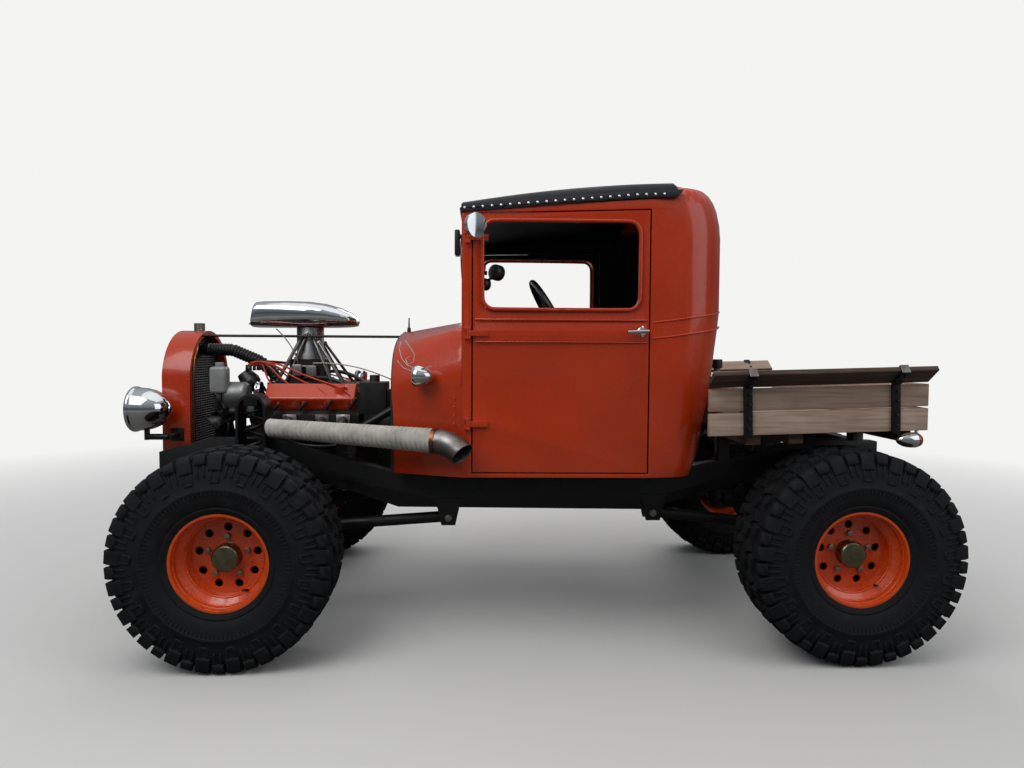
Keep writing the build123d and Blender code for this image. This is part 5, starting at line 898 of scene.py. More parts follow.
class HOTROD_OT_cab(bpy.types.Operator):
    """Cowl, cab and doors in folded steel, with their belts, window lips, rivets, hinges and door handles"""
    bl_idname = "hotrod.cab"
    bl_label = "Cab"

    # Window opening's edges and the radius of its corners
    LOW, HIGH, FRONT, REAR, CORNER = 1.4405, 1.8125, -0.1745, 0.4895, 0.052
    SEAL = ((-0.2375, 0.76), (-0.2375, 1.3), (-0.2375, 1.853), (-0.2375, 1.8565), (0.1, 1.8565), (0.533, 1.8565),
            (0.533, 1.853), (0.533, 1.3), (0.533, 0.76))
    WELT = ((0.552, 0.735), (0.552, 1.047), (0.51, 1.21), (0.398, 1.292), (0.2, 1.338), (0, 1.357))
    # Hand-painted scrolls on the cowl's side, as lines of x and z
    SCROLLS = (
        ((-0.55, 1.305), (-0.546, 1.27), (-0.53, 1.23), (-0.5, 1.2), (-0.46, 1.186), (-0.42, 1.19), (-0.385, 1.203)),
        ((-0.53, 1.312), (-0.5, 1.285), (-0.472, 1.25), (-0.474, 1.215), (-0.5, 1.205), (-0.512, 1.228),
         (-0.487, 1.243)),
        ((-0.55, 1.22), (-0.52, 1.19), (-0.48, 1.176), (-0.44, 1.17), (-0.4, 1.176)))

    def execute(self, context):
        skin("cowl")
        # Inner faces of the cab shell above 0.78 m take the near-black finish
        paint(skin("cab_shell"), "near_black_inside", lambda place, normal:
              (place.x - 0.3) * normal.x + place.y * normal.y < -0.15 and place.z > 0.78)
        for side, way in SIDES:
            body = "door_" + side
            made = skin(body)
            # Inner faces of the door above 1.2 m take the near-black finish
            paint(made, "near_black_inside", lambda place, normal: normal.y * way < -0.5 and place.z > 1.2)
            paint(made, "chrome", lambda place, normal: abs(place.y) > 0.7 and (
                place.x > 0.36 and 1.31 < place.z < 1.39 or place.x < -0.13 and place.z > 1.7))
            self.door_trim(way, body)
            points = [(x, way * (0.6325 + 0.0226 * (x + 0.262)), z) for x, z in self.SEAL]
            dress(f"door_seal_{side}", tube(points, 0.009, 2, 4), "hose", "rubber")
        for side, way in SIDES:
            dress(f"quarter_beads_{side}", self.beads(way), "enamel", "enamel")
        self.rivets()
        self.pinstripes()
        return {"FINISHED"}

    def door_trim(self, way, body):
        """Rolled lip round a door's window, its raised belts, and the rosette and wings of its handle."""
        centre, path = (0.16, self.LOW), []
        for x, z, start in ((self.REAR - self.CORNER, self.LOW + self.CORNER, -90),
                            (self.REAR - self.CORNER, self.HIGH - self.CORNER, 0),
                            (self.FRONT + self.CORNER, self.HIGH - self.CORNER, 90),
                            (self.FRONT + self.CORNER, self.LOW + self.CORNER, 180)):
            for number in range(5):
                turned = radians(start + 22.5 * number)
                path.append((x + self.CORNER * cos(turned), z + self.CORNER * sin(turned)))
        points = [(x, way * (0.6825 + (x + 0.262) * 0.0163), z) for x, z in (centre, *path, centre)]
        dress(f"window_lip_{body}", tube(points, 0.0085, 3), "enamel", "enamel", body)
        for number, (z, tall, proud) in enumerate(((1.398, 0.009, 0.0035), (1.305, 0.007, 0.003))):
            belt = bar((-0.205, way * (0.6805 + proud), z), (0.52, way * (0.691 + proud), z), tall / 2, vertices=16,
                       width=0.001)
            dress(f"belt_bead_{number}_{body}", belt, "enamel", "enamel", body)
        x, y, z = 0.497, 0.6905, 1.35
        plate = turn(((0.001, 0.006), (0.012, 0.006), (0.018, 0.004), (0.0205, 0)), (x, way * y, z), (0, way, 0), 32)
        wings = bar((x, way * (y + 0.024), z - 0.024), (x, way * (y + 0.024), z + 0.024), 0.0058, width=0.002)
        dress(f"handle_rosette_{body}", [plate, wings], "chrome", "chrome", body, 50)

    def beads(self, way):
        """Two beads on a rear quarter that rise towards the back and run on to the middle of the cab."""
        lines = []
        for low, high in ((1.322, 1.386), (1.39, 1.452)):
            points = [(0.545, way * 0.688, low), (0.62, way * 0.6825, low + 0.008)]
            for number in range(7):
                turned = radians(15 * number)
                points.append((0.688 + 0.199 * sin(turned), way * (0.480 + 0.199 * cos(turned)),
                               low + 0.018 + (high - low - 0.018) * number / 6))
            lines.append(tube([*points, (0.888, 0, high)], 0.0042, 3))
        return lines

    def rivets(self):
        """Rivets down the cowl's rear seam and round its front edge, and the black welt on that edge."""
        made = []
        for way in WAYS:
            for x, y, z, rise, count, radius in ((-0.292, 0.6702, 0.77, 0.037, 9, 0.0042),
                                                 (-0.548, 0.55, 0.76, 0.045, 7, 0.0038)):
                made += [rivet((x, way * y, z + rise * number), (0, way, 0), radius) for number in range(count)]
        dress("cowl_rivets", made, "enamel", "enamel")
        welts = [tube([(-0.5702, way * y, z) for y, z in self.WELT], 0.0065, 3) for way in WAYS]
        dress("cowl_welt", welts, "hose", "rubber")

    def pinstripes(self):
        """Scrolls laid on the cowl's skin, where it is met from the side."""
        bpy.context.view_layer.update()
        panel = bpy.data.objects["cowl_skin"]
        made = []
        for way in WAYS:
            for rows in self.SCROLLS:
                points = []
                for (x0, z0), (x1, z1) in zip(rows, rows[1:]):
                    for share in (0, 0.25, 0.5, 0.75):
                        x, z = x0 + (x1 - x0) * share, z0 + (z1 - z0) * share
                        met, place, *_ = panel.ray_cast(Vector((x, way * 2, z)), Vector((0, -way, 0)))
                        points.append(place if met else Vector((x, way * 0.5, z)))
                made.append(tube(points, 0.002, 1, 3))
        dress("cowl_pinstripes", made, "stripe", "enamel")


class HOTROD_OT_roof(bpy.types.Operator):
    """Roof covered in grained vinyl that laps over the cab's edge, with piping and a row of studs"""
    bl_idname = "hotrod.roof"
    bl_label = "Covered Roof"

    FRONT = -0.262
    # Piping along a side and over the back to the middle, and along the front
    SIDE_PIPING = ((-0.266, 0.676, 1.862), (0.2, 0.6855, 1.892), (0.62, 0.691, 1.918), (0.642, 0.689, 1.924),
                   (0.643, 0.671, 1.96), (0.643, 0.6, 1.9885), (0.643, 0.45, 2.0095), (0.643, 0.3, 2.024),
                   (0.643, 0.15, 2.031), (0.643, 0, 2.0312))
    FRONT_PIPING = ((-0.266, -0.678, 1.858), (-0.268, -0.4, 1.902), (-0.269, 0, 1.92), (-0.268, 0.4, 1.902),
                    (-0.266, 0.678, 1.858))

    def execute(self, context):
        skin("roof_top")
        dress("roof_vinyl_lap", [self.lap(-1), self.lap(1), self.valance()], "vinyl", "vinyl")
        pitch = sizes().stud_pitch
        studs = [rivet((x, way * (0.6835 + (x - self.FRONT) * 0.0163), self.hem(x) + 0.014), (0, way, 0.1), 0.0062)
                 for way in WAYS for x in (-0.25 + number * pitch for number in range(int(0.9 / pitch)))]
        studs += [rivet((-0.268, number * pitch, self.hem(self.FRONT) + 0.014), (-1, 0, 0.1), 0.0062)
                  for number in range(-17, 18)]
        dress("roof_studs", studs, "chrome", "chrome")
        lines = [[(x, way * y, z) for x, y, z in self.SIDE_PIPING] for way in WAYS] + [self.FRONT_PIPING]
        dress("roof_piping", [tube(points, sizes().piping, 3) for points in lines], "vinyl", "vinyl")
        return {"FINISHED"}

    def hem(self, x):
        """Height of the cloth's lower edge along the side of the cab."""
        return 1.846 + 0.084 * (x + 0.26) - 0.05 * max(0.0, x - 0.48)

    def cloth(self, columns, rows, place_of):
        """Sheet of cloth whose points are placed by their two shares."""
        bpy.ops.mesh.primitive_grid_add(x_subdivisions=columns, y_subdivisions=rows, size=1, location=(0, 0, 0))
        made = bpy.context.object
        with editing(made) as mesh:
            for vertex in mesh.verts:
                vertex.co = place_of(vertex.co.x + 0.5, vertex.co.y + 0.5)
        modify(made, "SOLIDIFY", thickness=0.0042, offset=0)
        return outwards(made)

    def valance(self):
        """Cloth folded down over the windscreen's header, up to the roof's vaulted front edge."""
        low = self.hem(self.FRONT) - 0.004

        def place_of(along, up):
            y = (along - 0.5) * 1.352
            crest = 1.92 - 0.0255 * (y / 0.582) ** 2
            if abs(y) > 0.582:
                crest = 1.8945 - 0.0395 * ((abs(y) - 0.582) / 0.094) ** 1.8
            return -0.2655 + 0.003 * up, y, low + (max(crest - 0.002, low + 0.01) - low) * up

        return self.cloth(80, 4, place_of)

    def lap(self, way):
        """Cloth folded down over the side of the cab, its lower edge hemmed and a little wavy."""

        def place_of(along, drop):
            x = -0.264 + along * (0.905 + 0.03 * (1 - drop))
            sag = 0.0012 * sin(along * 61) + 0.0008 * sin(along * 117 + 1)
            out = 0.679 + (x - self.FRONT) * 0.0163 - 0.0165 * (1 - drop) ** 2 + sag * drop
            return x, way * out, self.hem(x) + 0.034 * (1 - drop)

        return self.cloth(46, 6, place_of)


class HOTROD_OT_glazing(bpy.types.Operator):
    """Windscreen and rear glass in rubber channels, with the windscreen's wiper"""
    bl_idname = "hotrod.glazing"
    bl_label = "Glazing"

    def execute(self, context):
        skin("glass")
        channels = []
        for x, half, low, high, width in ((-0.2535, 0.6, 1.432, 1.806, 0.0075), (0.8845, 0.3, 1.49, 1.73, 0.006)):
            points = [(x, -half, low), (x, half, low), (x, half, high), (x, -half, high)]
            channels += [bar(points[number - 4], points[number - 3], width, vertices=12) for number in range(4)]
        dress("glass_channels", channels, "hose", "rubber")
        arm = tube([(-0.276, -0.28, 1.8), (-0.281, -0.3, 1.72), (-0.27, -0.34, 1.6)], 0.003, 2)
        blade = box((-0.272, -0.352, 1.5), (-0.2645, -0.338, 1.68), 0.002)
        dress("wiper", [arm, blade], "plastic", "plastic")
        return {"FINISHED"}


class HOTROD_OT_seats(bpy.types.Operator):
    """Bench seat: padded cushion and back in pleated vinyl, swollen by a cloth simulation"""
    bl_idname = "hotrod.seats"
    bl_label = "Bench Seat"

    FRAMES = 20
    SWELL = 0.022
    PLEATS, PLEAT_DEPTH = 14, 0.007

    def execute(self, context):
        for node in ("seat_cushion", "seat_back"):
            made = dress(node + "_pad", self.pad(node), "seat", "upholstery", angle=60)
            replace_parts(made, node)
        return {"FINISHED"}

    def pad(self, node):
        """A copy of the cushion, a little smaller, remeshed, swollen by pressure and held near its frame."""
        made = copy_of(node)
        with editing(made):
            bpy.ops.transform.resize(value=(0.975, 0.985, 0.975), center_override=middle(node))
        modify(made, "REMESH", mode="VOXEL", voxel_size=0.012)
        self.swell(made)
        low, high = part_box(node)
        for vertex in made.data.vertices:
            for axis in range(3):
                vertex.co[axis] = min(max(vertex.co[axis], low[axis]), high[axis])
        for vertex in made.data.vertices:
            share = (vertex.co.y - low.y) / (high.y - low.y) * self.PLEATS
            depth = self.PLEAT_DEPTH * max(0.0, 1 - abs(share - round(share)) / 0.12)
            if 0.5 < share < self.PLEATS - 0.5 and depth:
                vertex.co -= vertex.normal * depth
        return made

    def swell(self, made):
        """Blow a pad up as cloth under pressure, no point further than a limit."""
        before = [vertex.co.copy() for vertex in made.data.vertices]
        pick(made)
        cloth = made.modifiers.new("Cloth", "CLOTH")
        cloth.settings.use_pressure = True
        cloth.settings.uniform_pressure_force = 4
        cloth.settings.quality = 4
        cloth.settings.effector_weights.gravity = 0
        cloth.point_cache.frame_start = 1
        cloth.point_cache.frame_end = self.FRAMES
        for number in range(self.FRAMES):
            bpy.context.scene.frame_set(number + 1)
        bpy.ops.object.modifier_apply(modifier=cloth.name)
        bpy.context.scene.frame_set(1)
        for vertex, start in zip(made.data.vertices, before):
            step = vertex.co - start
            if step.length > self.SWELL:
                vertex.co = start + step.normalized() * self.SWELL


class HOTROD_OT_engine(bpy.types.Operator):
    """Open engine: block, covers, intake and carburettor, ignition, pulleys and belts"""
    bl_idname = "hotrod.engine"
    bl_label = "Engine"

    PLUGS = (-1.15, -1.03, -0.91, -0.8)
    # Ends of the scoop's stays on the right-hand side
    STAYS = (((-1.051, 0.07, 1.35), (-1.162, 0.1, 1.084)), ((-0.995, 0.07, 1.302), (-0.86, 0.13, 1.097)))
    # Pulleys of crank, pump and alternator: y, z and radius
    PULLEYS = ((0, 0.7, 0.085), (0, 0.93, 0.07), (-0.2, 1.07, 0.042))
    # Heater hoses, fuel line, overflow and vacuum hose: radius and line
    HOSES = (
        (0.009, ((-1.06, 0.02, 1.13), (-0.95, -0.03, 1.17), (-0.8, -0.12, 1.14), (-0.68, -0.19, 1.06),
                 (-0.575, -0.24, 1.0))),
        (0.0095, ((-1.2, -0.06, 1.1), (-1.0, -0.1, 1.145), (-0.84, -0.16, 1.1), (-0.7, -0.25, 1.01),
                  (-0.575, -0.3, 0.94))),
        (0.0065, ((-1.07, 0.1, 1.15), (-1.18, 0.14, 1.15), (-1.25, 0.18, 1.05), (-1.27, 0.22, 0.93))),
        (0.008, ((-1.4, -0.27, 1.065), (-1.38, -0.25, 1.0), (-1.42, -0.18, 0.95), (-1.46, -0.1, 0.93))),
        (0.008, ((-1.21, -0.2, 0.9), (-1.1, -0.36, 0.84), (-0.9, -0.37, 0.81), (-0.7, -0.34, 0.86),
                 (-0.575, -0.3, 0.9))))

    def execute(self, context):
        skin("engine_block")
        self.covers()
        paint(skin("carburettor"), "aluminium", lambda place, normal: place.z > 1.232)
        for node in ("distributor", "alternator", "brake_servo", "cooling_fan"):
            skin(node)
        self.cover_bolts()
        self.stays()
        self.leads()
        self.throttle()
        self.belts()
        tank = [bar((-1.413, -0.27, 1.18), (-1.413, -0.27, 1.205), 0.02, width=0.002),
                box((-1.452, -0.305, 1.06), (-1.375, -0.235, 1.185), 0.014, 4)]
        dress("header_tank", tank, "tank", "plastic", angle=50)
        rows = ((0.001, 0), (0.03, 0), (0.034, 0.006), (0.034, 0.05), (0.03, 0.058), (0.001, 0.06))
        dress("breather", turn(rows, (-0.835, 0.2, 1.095), (0, 0.35, 0.94), 40), "chrome", "chrome")
        dress("engine_hoses", [tube(line, radius, 3) for radius, line in self.HOSES], "hose", "rubber", angle=60)
        return {"FINISHED"}

    def covers(self):
        """Pressed valve covers with large round edges."""
        made = copy_of("valve_covers")
        modify(made, "REMESH", mode="VOXEL", voxel_size=0.0045)
        modify(made, "SMOOTH", factor=0.5, iterations=22)
        modify(made, "DECIMATE", ratio=0.4)
        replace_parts(dress("valve_covers_pressed", made, "enamel", "enamel", angle=60), "valve_covers")

    def cover_bolts(self):
        """Four bright bolts along the inner edge of each valve cover."""
        low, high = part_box("valve_covers")
        pitch = (high.x - low.x - 0.08) / 3
        bolts = [bolt_head((low.x + 0.04 + number * pitch, way * 0.17, high.z - 0.018), (0, way * 0.7, 0.7), 0.0065)
                 for way in WAYS for number in range(4)]
        dress("cover_bolts", bolts, "chrome", "chrome")

    def stays(self):
        """Bars that steady the air scoop, bolted at both ends."""
        made, bolts = [], []
        for way in WAYS:
            for ends in self.STAYS:
                ends = [(x, way * y, z) for x, y, z in ends]
                made.append(bar(*ends, 0.0075, vertices=14, width=0.001))
                bolts += [bolt_head(place, (0, way, 0.2), 0.008) for place in ends]
        dress("scoop_stays", made, "steel", "bare_steel", angle=50)
        dress("stay_bolts", bolts, "zinc", "bare_steel")

    def leads(self):
        """Ignition leads from the distributor's cap over the valve covers to the plugs, in black boots."""
        cap, top = middle("distributor"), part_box("distributor")[1].z
        leads, boots = [], []
        for way in WAYS:
            for number, x in enumerate(self.PLUGS):
                turned = radians(35 + 32 * number)
                start = Vector((cap.x + 0.035 * cos(turned), cap.y + way * 0.035 * sin(turned), top - 0.004))
                end = Vector((x, way * 0.318, 0.985))
                knee = Vector((x + 0.05, way * 0.335, 1.03 + 0.012 * number))
                rest = Vector((x * 0.55 + cap.x * 0.45, way * (0.17 + 0.014 * number), 1.118 + 0.007 * number))
                leads.append(tube([start, start + Vector((0, 0, 0.045)), start.lerp(rest, 0.55) + Vector((0, 0, 0.05)),
                                   rest, knee, end], sizes().lead, 3))
                boots += [bar(end, end.lerp(knee, 0.7), 0.0082, 0.0068, 16, 0.0012),
                          bar(start - Vector((0, 0, 0.004)), start + Vector((0, 0, 0.024)), 0.0075, 0.006, 14, 0.001)]
        dress("plug_leads", leads, "lead", "rubber")
        dress("lead_boots", boots, "hose", "rubber")

    def throttle(self):
        """Shafts, levers and rods about the carburettor, its nuts and its two float bowls."""
        made = [bar((-1.1, -0.105, 1.185), (-1.0, -0.105, 1.185), 0.004),
                bar((-1.09, -0.1, 1.16), (-1.09, -0.112, 1.215), 0.0045),
                bar((-1.015, -0.1, 1.15), (-1.015, -0.112, 1.2), 0.0045),
                tube([(-1.015, -0.112, 1.2), (-0.9, -0.12, 1.205), (-0.7, -0.14, 1.16), (-0.575, -0.15, 1.1)],
                     0.0032, 3),
                bar((-1.34, -0.06, 1.395), (-1.34, 0.06, 1.395), 0.004),
                tube([(-1.09, -0.112, 1.21), (-1.12, -0.1, 1.3), (-1.2, -0.09, 1.37)], 0.003, 3)]
        made += [bolt_head((x, y, 1.222), (0, 0, 1), 0.0065) for x in (-1.115, -0.985) for y in (-0.06, 0.06)]
        made += [bolt_head((-1.053 + 0.058 * cos(pi / 4 * number), 0.058 * sin(pi / 4 * number), 1.222), (0, 0, 1),
                           0.004) for number in range(8)]
        dress("throttle_gear", made, "zinc", "bare_steel")
        bowls = [box((-1.118, -0.118, 1.135), (-1.07, -0.086, 1.195), 0.006, 3),
                 box((-1.05, -0.118, 1.13), (-0.998, -0.086, 1.19), 0.006, 3)]
        dress("carburettor_bowls", bowls, "aluminium", "aluminium")

    def belts(self):
        """Grooved pulleys with the straight runs of their belts."""
        wide, pulleys, belts = 0.022, [], []
        for y, z, radius in self.PULLEYS:
            rows = [(0.001, 0), (radius * 0.35, 0), (radius * 0.4, wide * 0.22), (radius * 0.8, wide * 0.22),
                    (radius * 0.86, 0), (radius, 0), (radius, wide * 0.12), (radius * 0.84, wide * 0.5),
                    (radius, wide * 0.88), (radius, wide), (radius * 0.3, wide), (0.001, wide)]
            pulleys.append(turn(rows, (-1.262, y, z), (1, 0, 0), steps=48))
        dress("belt_pulleys", pulleys, "chrome", "chrome")
        for first, second in ((0, 1), (1, 2), (0, 2)):
            (y0, z0, r0), (y1, z1, r1) = self.PULLEYS[first], self.PULLEYS[second]
            lean, spread = atan2(z1 - z0, y1 - y0), pi / 2 - (r0 - r1) / hypot(y1 - y0, z1 - z0)
            for at in (lean - spread, lean + spread):
                belts.append(bar((-1.251, y0 + r0 * cos(at), z0 + r0 * sin(at)),
                                 (-1.251, y1 + r1 * cos(at), z1 + r1 * sin(at)), 0.0062, vertices=8))
        dress("drive_belts", belts, "hose", "rubber")


class HOTROD_OT_intake(bpy.types.Operator):
    """Polished air scoop with its rolled mouth, and the ribbed top hose with clamps"""
    bl_idname = "hotrod.intake"
    bl_label = "Air Scoop and Hose"

    START, LENGTH = -1.302, 0.497
    # Share of the scoop's length, half width, foot and crown
    STATIONS = ((0.0, 0.114, 1.379, 1.506), (0.08, 0.117, 1.3785, 1.51), (0.3, 0.118, 1.378, 1.512),
                (0.5, 0.117, 1.378, 1.51), (0.66, 0.111, 1.3785, 1.501), (0.8, 0.099, 1.3795, 1.483),
                (0.91, 0.079, 1.382, 1.459), (0.965, 0.057, 1.385, 1.44), (0.99, 0.035, 1.389, 1.425),
                (1.0, 0.012, 1.396, 1.412))
    # Line of the top hose in x and z
    HOSE = ((-1.557, 1.266), (-1.44, 1.264), (-1.3, 1.205), (-1.228, 1.14), (-1.228, 1.1))

    def execute(self, context):
        self.scoop()
        self.hose()
        skin("hood_rod")
        return {"FINISHED"}

    def section_at(self, station):
        """Half width, foot and crown of the scoop at a share of its length, read between its stations."""
        for before, after in zip(self.STATIONS, self.STATIONS[1:]):
            if station <= after[0]:
                share = (station - before[0]) / (after[0] - before[0])
                share = share * share * (3 - 2 * share) * 0.35 + share * 0.65
                return [low + share * (high - low) for low, high in zip(before[1:], after[1:])]
        return self.STATIONS[-1][1:]

    def scoop(self):
        """Teardrop shell with rounded shoulders, open at a mouth whose foot leans forward, dark inside."""
        bpy.ops.mesh.primitive_grid_add(x_subdivisions=40, y_subdivisions=48, size=1, location=(0, 0, 0))
        made = bpy.context.object
        with editing(made) as mesh:
            for vertex in mesh.verts:
                share, turned = 1 - (0.5 - vertex.co.x) ** 1.5, 2 * pi * (vertex.co.y + 0.5)
                half, foot, crown = self.section_at(share)
                power = 2 / (3.6 - 1.5 * share)
                out, up = (abs(value) ** power * (1 if value > 0 else -1)
                           for value in (cos(turned), sin(turned)))
                x = self.START + self.LENGTH * share - 0.026 * (0.5 - up / 2) * (1 - share)
                vertex.co = (x, half * out, (foot + crown) / 2 + (crown - foot) / 2 * up)
        outwards(made)
        # Inner faces of the shell take the near-black finish
        for look in ("chrome", "near_black_inside"):
            made.data.materials.append(finish(look))
        modify(made, "SOLIDIFY", thickness=0.0055, offset=-1, material_offset=1)
        soften(made, 0.002, 2, 60)
        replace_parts(dress("air_scoop_shell", made, "chrome", "chrome", angle=60), "air_scoop")
        stripes = []
        for way in WAYS:
            points = []
            for number in range(9):
                share = 0.06 + 0.78 * number / 8
                half, foot, _ = self.section_at(share)
                points.append((self.START + self.LENGTH * share, way * half * 0.985,
                               foot + 0.02 + 0.004 * sin(share * 9)))
            stripes.append(tube(points, 0.0032, 2))
        dress("scoop_stripe", stripes, "ruby", "chrome")

    def hose(self):
        """Corrugated top hose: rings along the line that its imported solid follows, and a clamp at each end."""
        skin("radiator_hose")
        line = [Vector((x, -0.015, z)) for x, z in self.HOSE]
        ribs = []
        for start, end in zip(line, line[1:]):
            run = end - start
            count = max(1, int(run.length / 0.0145))
            ribs += [ring(0.027, 0.0052, start + run * ((number + 0.5) / count), run, 28, 8)
                     for number in range(count)]
        dress("hose_ribs", ribs, "hose", "rubber", angle=60)
        clamps = [ring(0.0285, 0.003, place, along, 36, 8)
                  for place, along in (((-1.553, -0.015, 1.266), (1, 0, 0)), ((-1.228, -0.015, 1.104), (0, 0, 1)))]
        dress("hose_clamps", clamps, "zinc", "bare_steel")


class HOTROD_OT_exhausts(bpy.types.Operator):
    """Exhausts wrapped in woven tape, with a copper band and a bare mitred tip"""
    bl_idname = "hotrod.exhausts"
    bl_label = "Wrapped Exhausts"

    # Radius of the bare pipe's line in its bend, and how much wider the tip is made
    BEND, WIDER = 0.19, 1.14
    FIRST, LAST = 0.035, 0.047

    def execute(self, context):
        pipes = skin("exhausts")
        wraps, bands = [], []
        for way in WAYS:
            start, end = Vector((-1.098, way * 0.552, 0.925)), Vector((-0.37, way * 0.722, 0.89))
            heading = (end - start).normalized()
            self.open_tip(pipes, end, heading, way)
            wraps.append(self.wrap(start, end, heading, way))
            rows = ((self.LAST + 0.0035, 0), (self.LAST + 0.006, 0.001), (self.LAST + 0.006, 0.017),
                    (self.LAST + 0.0035, 0.018))
            bands.append(turn(rows, end - heading * 0.012, heading, 48))
        dress("exhaust_wraps", wraps, "tape", "bare_steel", angle=60)
        dress("exhaust_bands", bands, "copper", "bare_steel")
        return {"FINISHED"}

    def open_tip(self, pipes, end, heading, way):
        """Widen a bare tip to the size of the wrapped pipe, about the arc that it follows."""
        outward = Vector((0, way * 0.5, -0.866))
        outward = (outward - heading * outward.dot(heading)).normalized()
        pivot, axis = end + outward * self.BEND, heading.cross(outward)
        for vertex in pipes.data.vertices:
            if vertex.co.y * way > 0 and (vertex.co - end).dot(heading) > 0.001:
                off = vertex.co - pivot
                line = pivot + (off - axis * off.dot(axis)).normalized() * self.BEND
                vertex.co = line + (vertex.co - line) * self.WIDER

    def wrap(self, start, end, heading, way):
        """Overlapping turns of tape: tilted rings, each with a raised edge over the one before."""
        pitch, length = sizes().wrap_pitch, (end - start).length
        count = int(length / pitch)
        lean = (heading + Vector((0, 0.16 * way, 0.22))).normalized()
        made = []
        for number in range(count):
            share = number / count
            radius = self.FIRST + (self.LAST - self.FIRST) * share
            rows = ((radius + 0.0004, -0.001), (radius + 0.0052, 0.0), (radius + 0.006, 0.0025),
                    (radius + 0.0022, pitch * 0.98), (radius + 0.0004, pitch * 1.02))
            made.append(turn(rows, start + heading * (length * share + 0.004), lean, 40))
        return joined(made)


class HOTROD_OT_front(bpy.types.Operator):
    """Radiator shell and grille, headlamps with domed lenses, and lamp brackets"""
    bl_idname = "hotrod.front"
    bl_label = "Front End"

    LAMP_RADIUS = 0.105
    # Headlamp's rim, as radius from the lamp's own and distance from its front; its bowl, as radius and share of depth
    RIM = ((-0.0165, 0.016), (-0.012, 0.0125), (-0.005, 0.0125), (-0.001, 0.017), (0, 0.023), (-0.001, 0.029),
           (-0.0045, 0.0325), (-0.0055, 0.04))
    BOWL = ((0.0965, 0.42), (0.089, 0.58), (0.076, 0.73), (0.058, 0.85), (0.037, 0.93), (0.02, 0.965), (0.019, 0.99),
            (0.0005, 1))
    DOME = ((0.0005, 0.0005), (0.03, 0.0018), (0.055, 0.0058), (0.075, 0.0115), (0.0885, 0.0185), (0.085, 0.024),
            (0.05, 0.018), (0.0005, 0.012))

    def execute(self, context):
        paint(skin("radiator_shell"), "steel", lambda place, normal: place.z > 1.3565)
        skin("grille")
        skin("lamp_bar")
        rivets = [rivet((x, way * 0.2552, z + number * rise), (0, way, 0), 0.0036) for way in WAYS
                  for x, z, rise, count in ((-1.572, 0.76, 0.04, 10), (-1.672, 0.8, 0.1, 4))
                  for number in range(count)]
        dress("shell_rivets", rivets, "enamel", "enamel")
        pipe = tube([(-1.585, -0.1, 1.3), (-1.556, -0.16, 1.28), (-1.553, -0.228, 1.2), (-1.553, -0.228, 0.9),
                     (-1.553, -0.228, 0.745)], 0.005, 3)
        dress("overflow_pipe", pipe, "copper", "bare_steel")
        low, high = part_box("headlamps")
        depth = high.x - low.x
        rows = [(self.LAMP_RADIUS + radius, x) for radius, x in self.RIM]
        rows += [(radius, share * depth) for radius, share in self.BOWL]
        bowls, domes = ([turn(section, (low.x, way * 0.35, 0.99), (1, 0, 0), steps) for way in WAYS]
                        for section, steps in ((rows, 72), (self.DOME, 64)))
        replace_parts(dress("headlamp_bowls", bowls, "chrome", "chrome", angle=50), "headlamps")
        dress("headlamp_lenses", domes, "clear", "glass", angle=60)
        return {"FINISHED"}


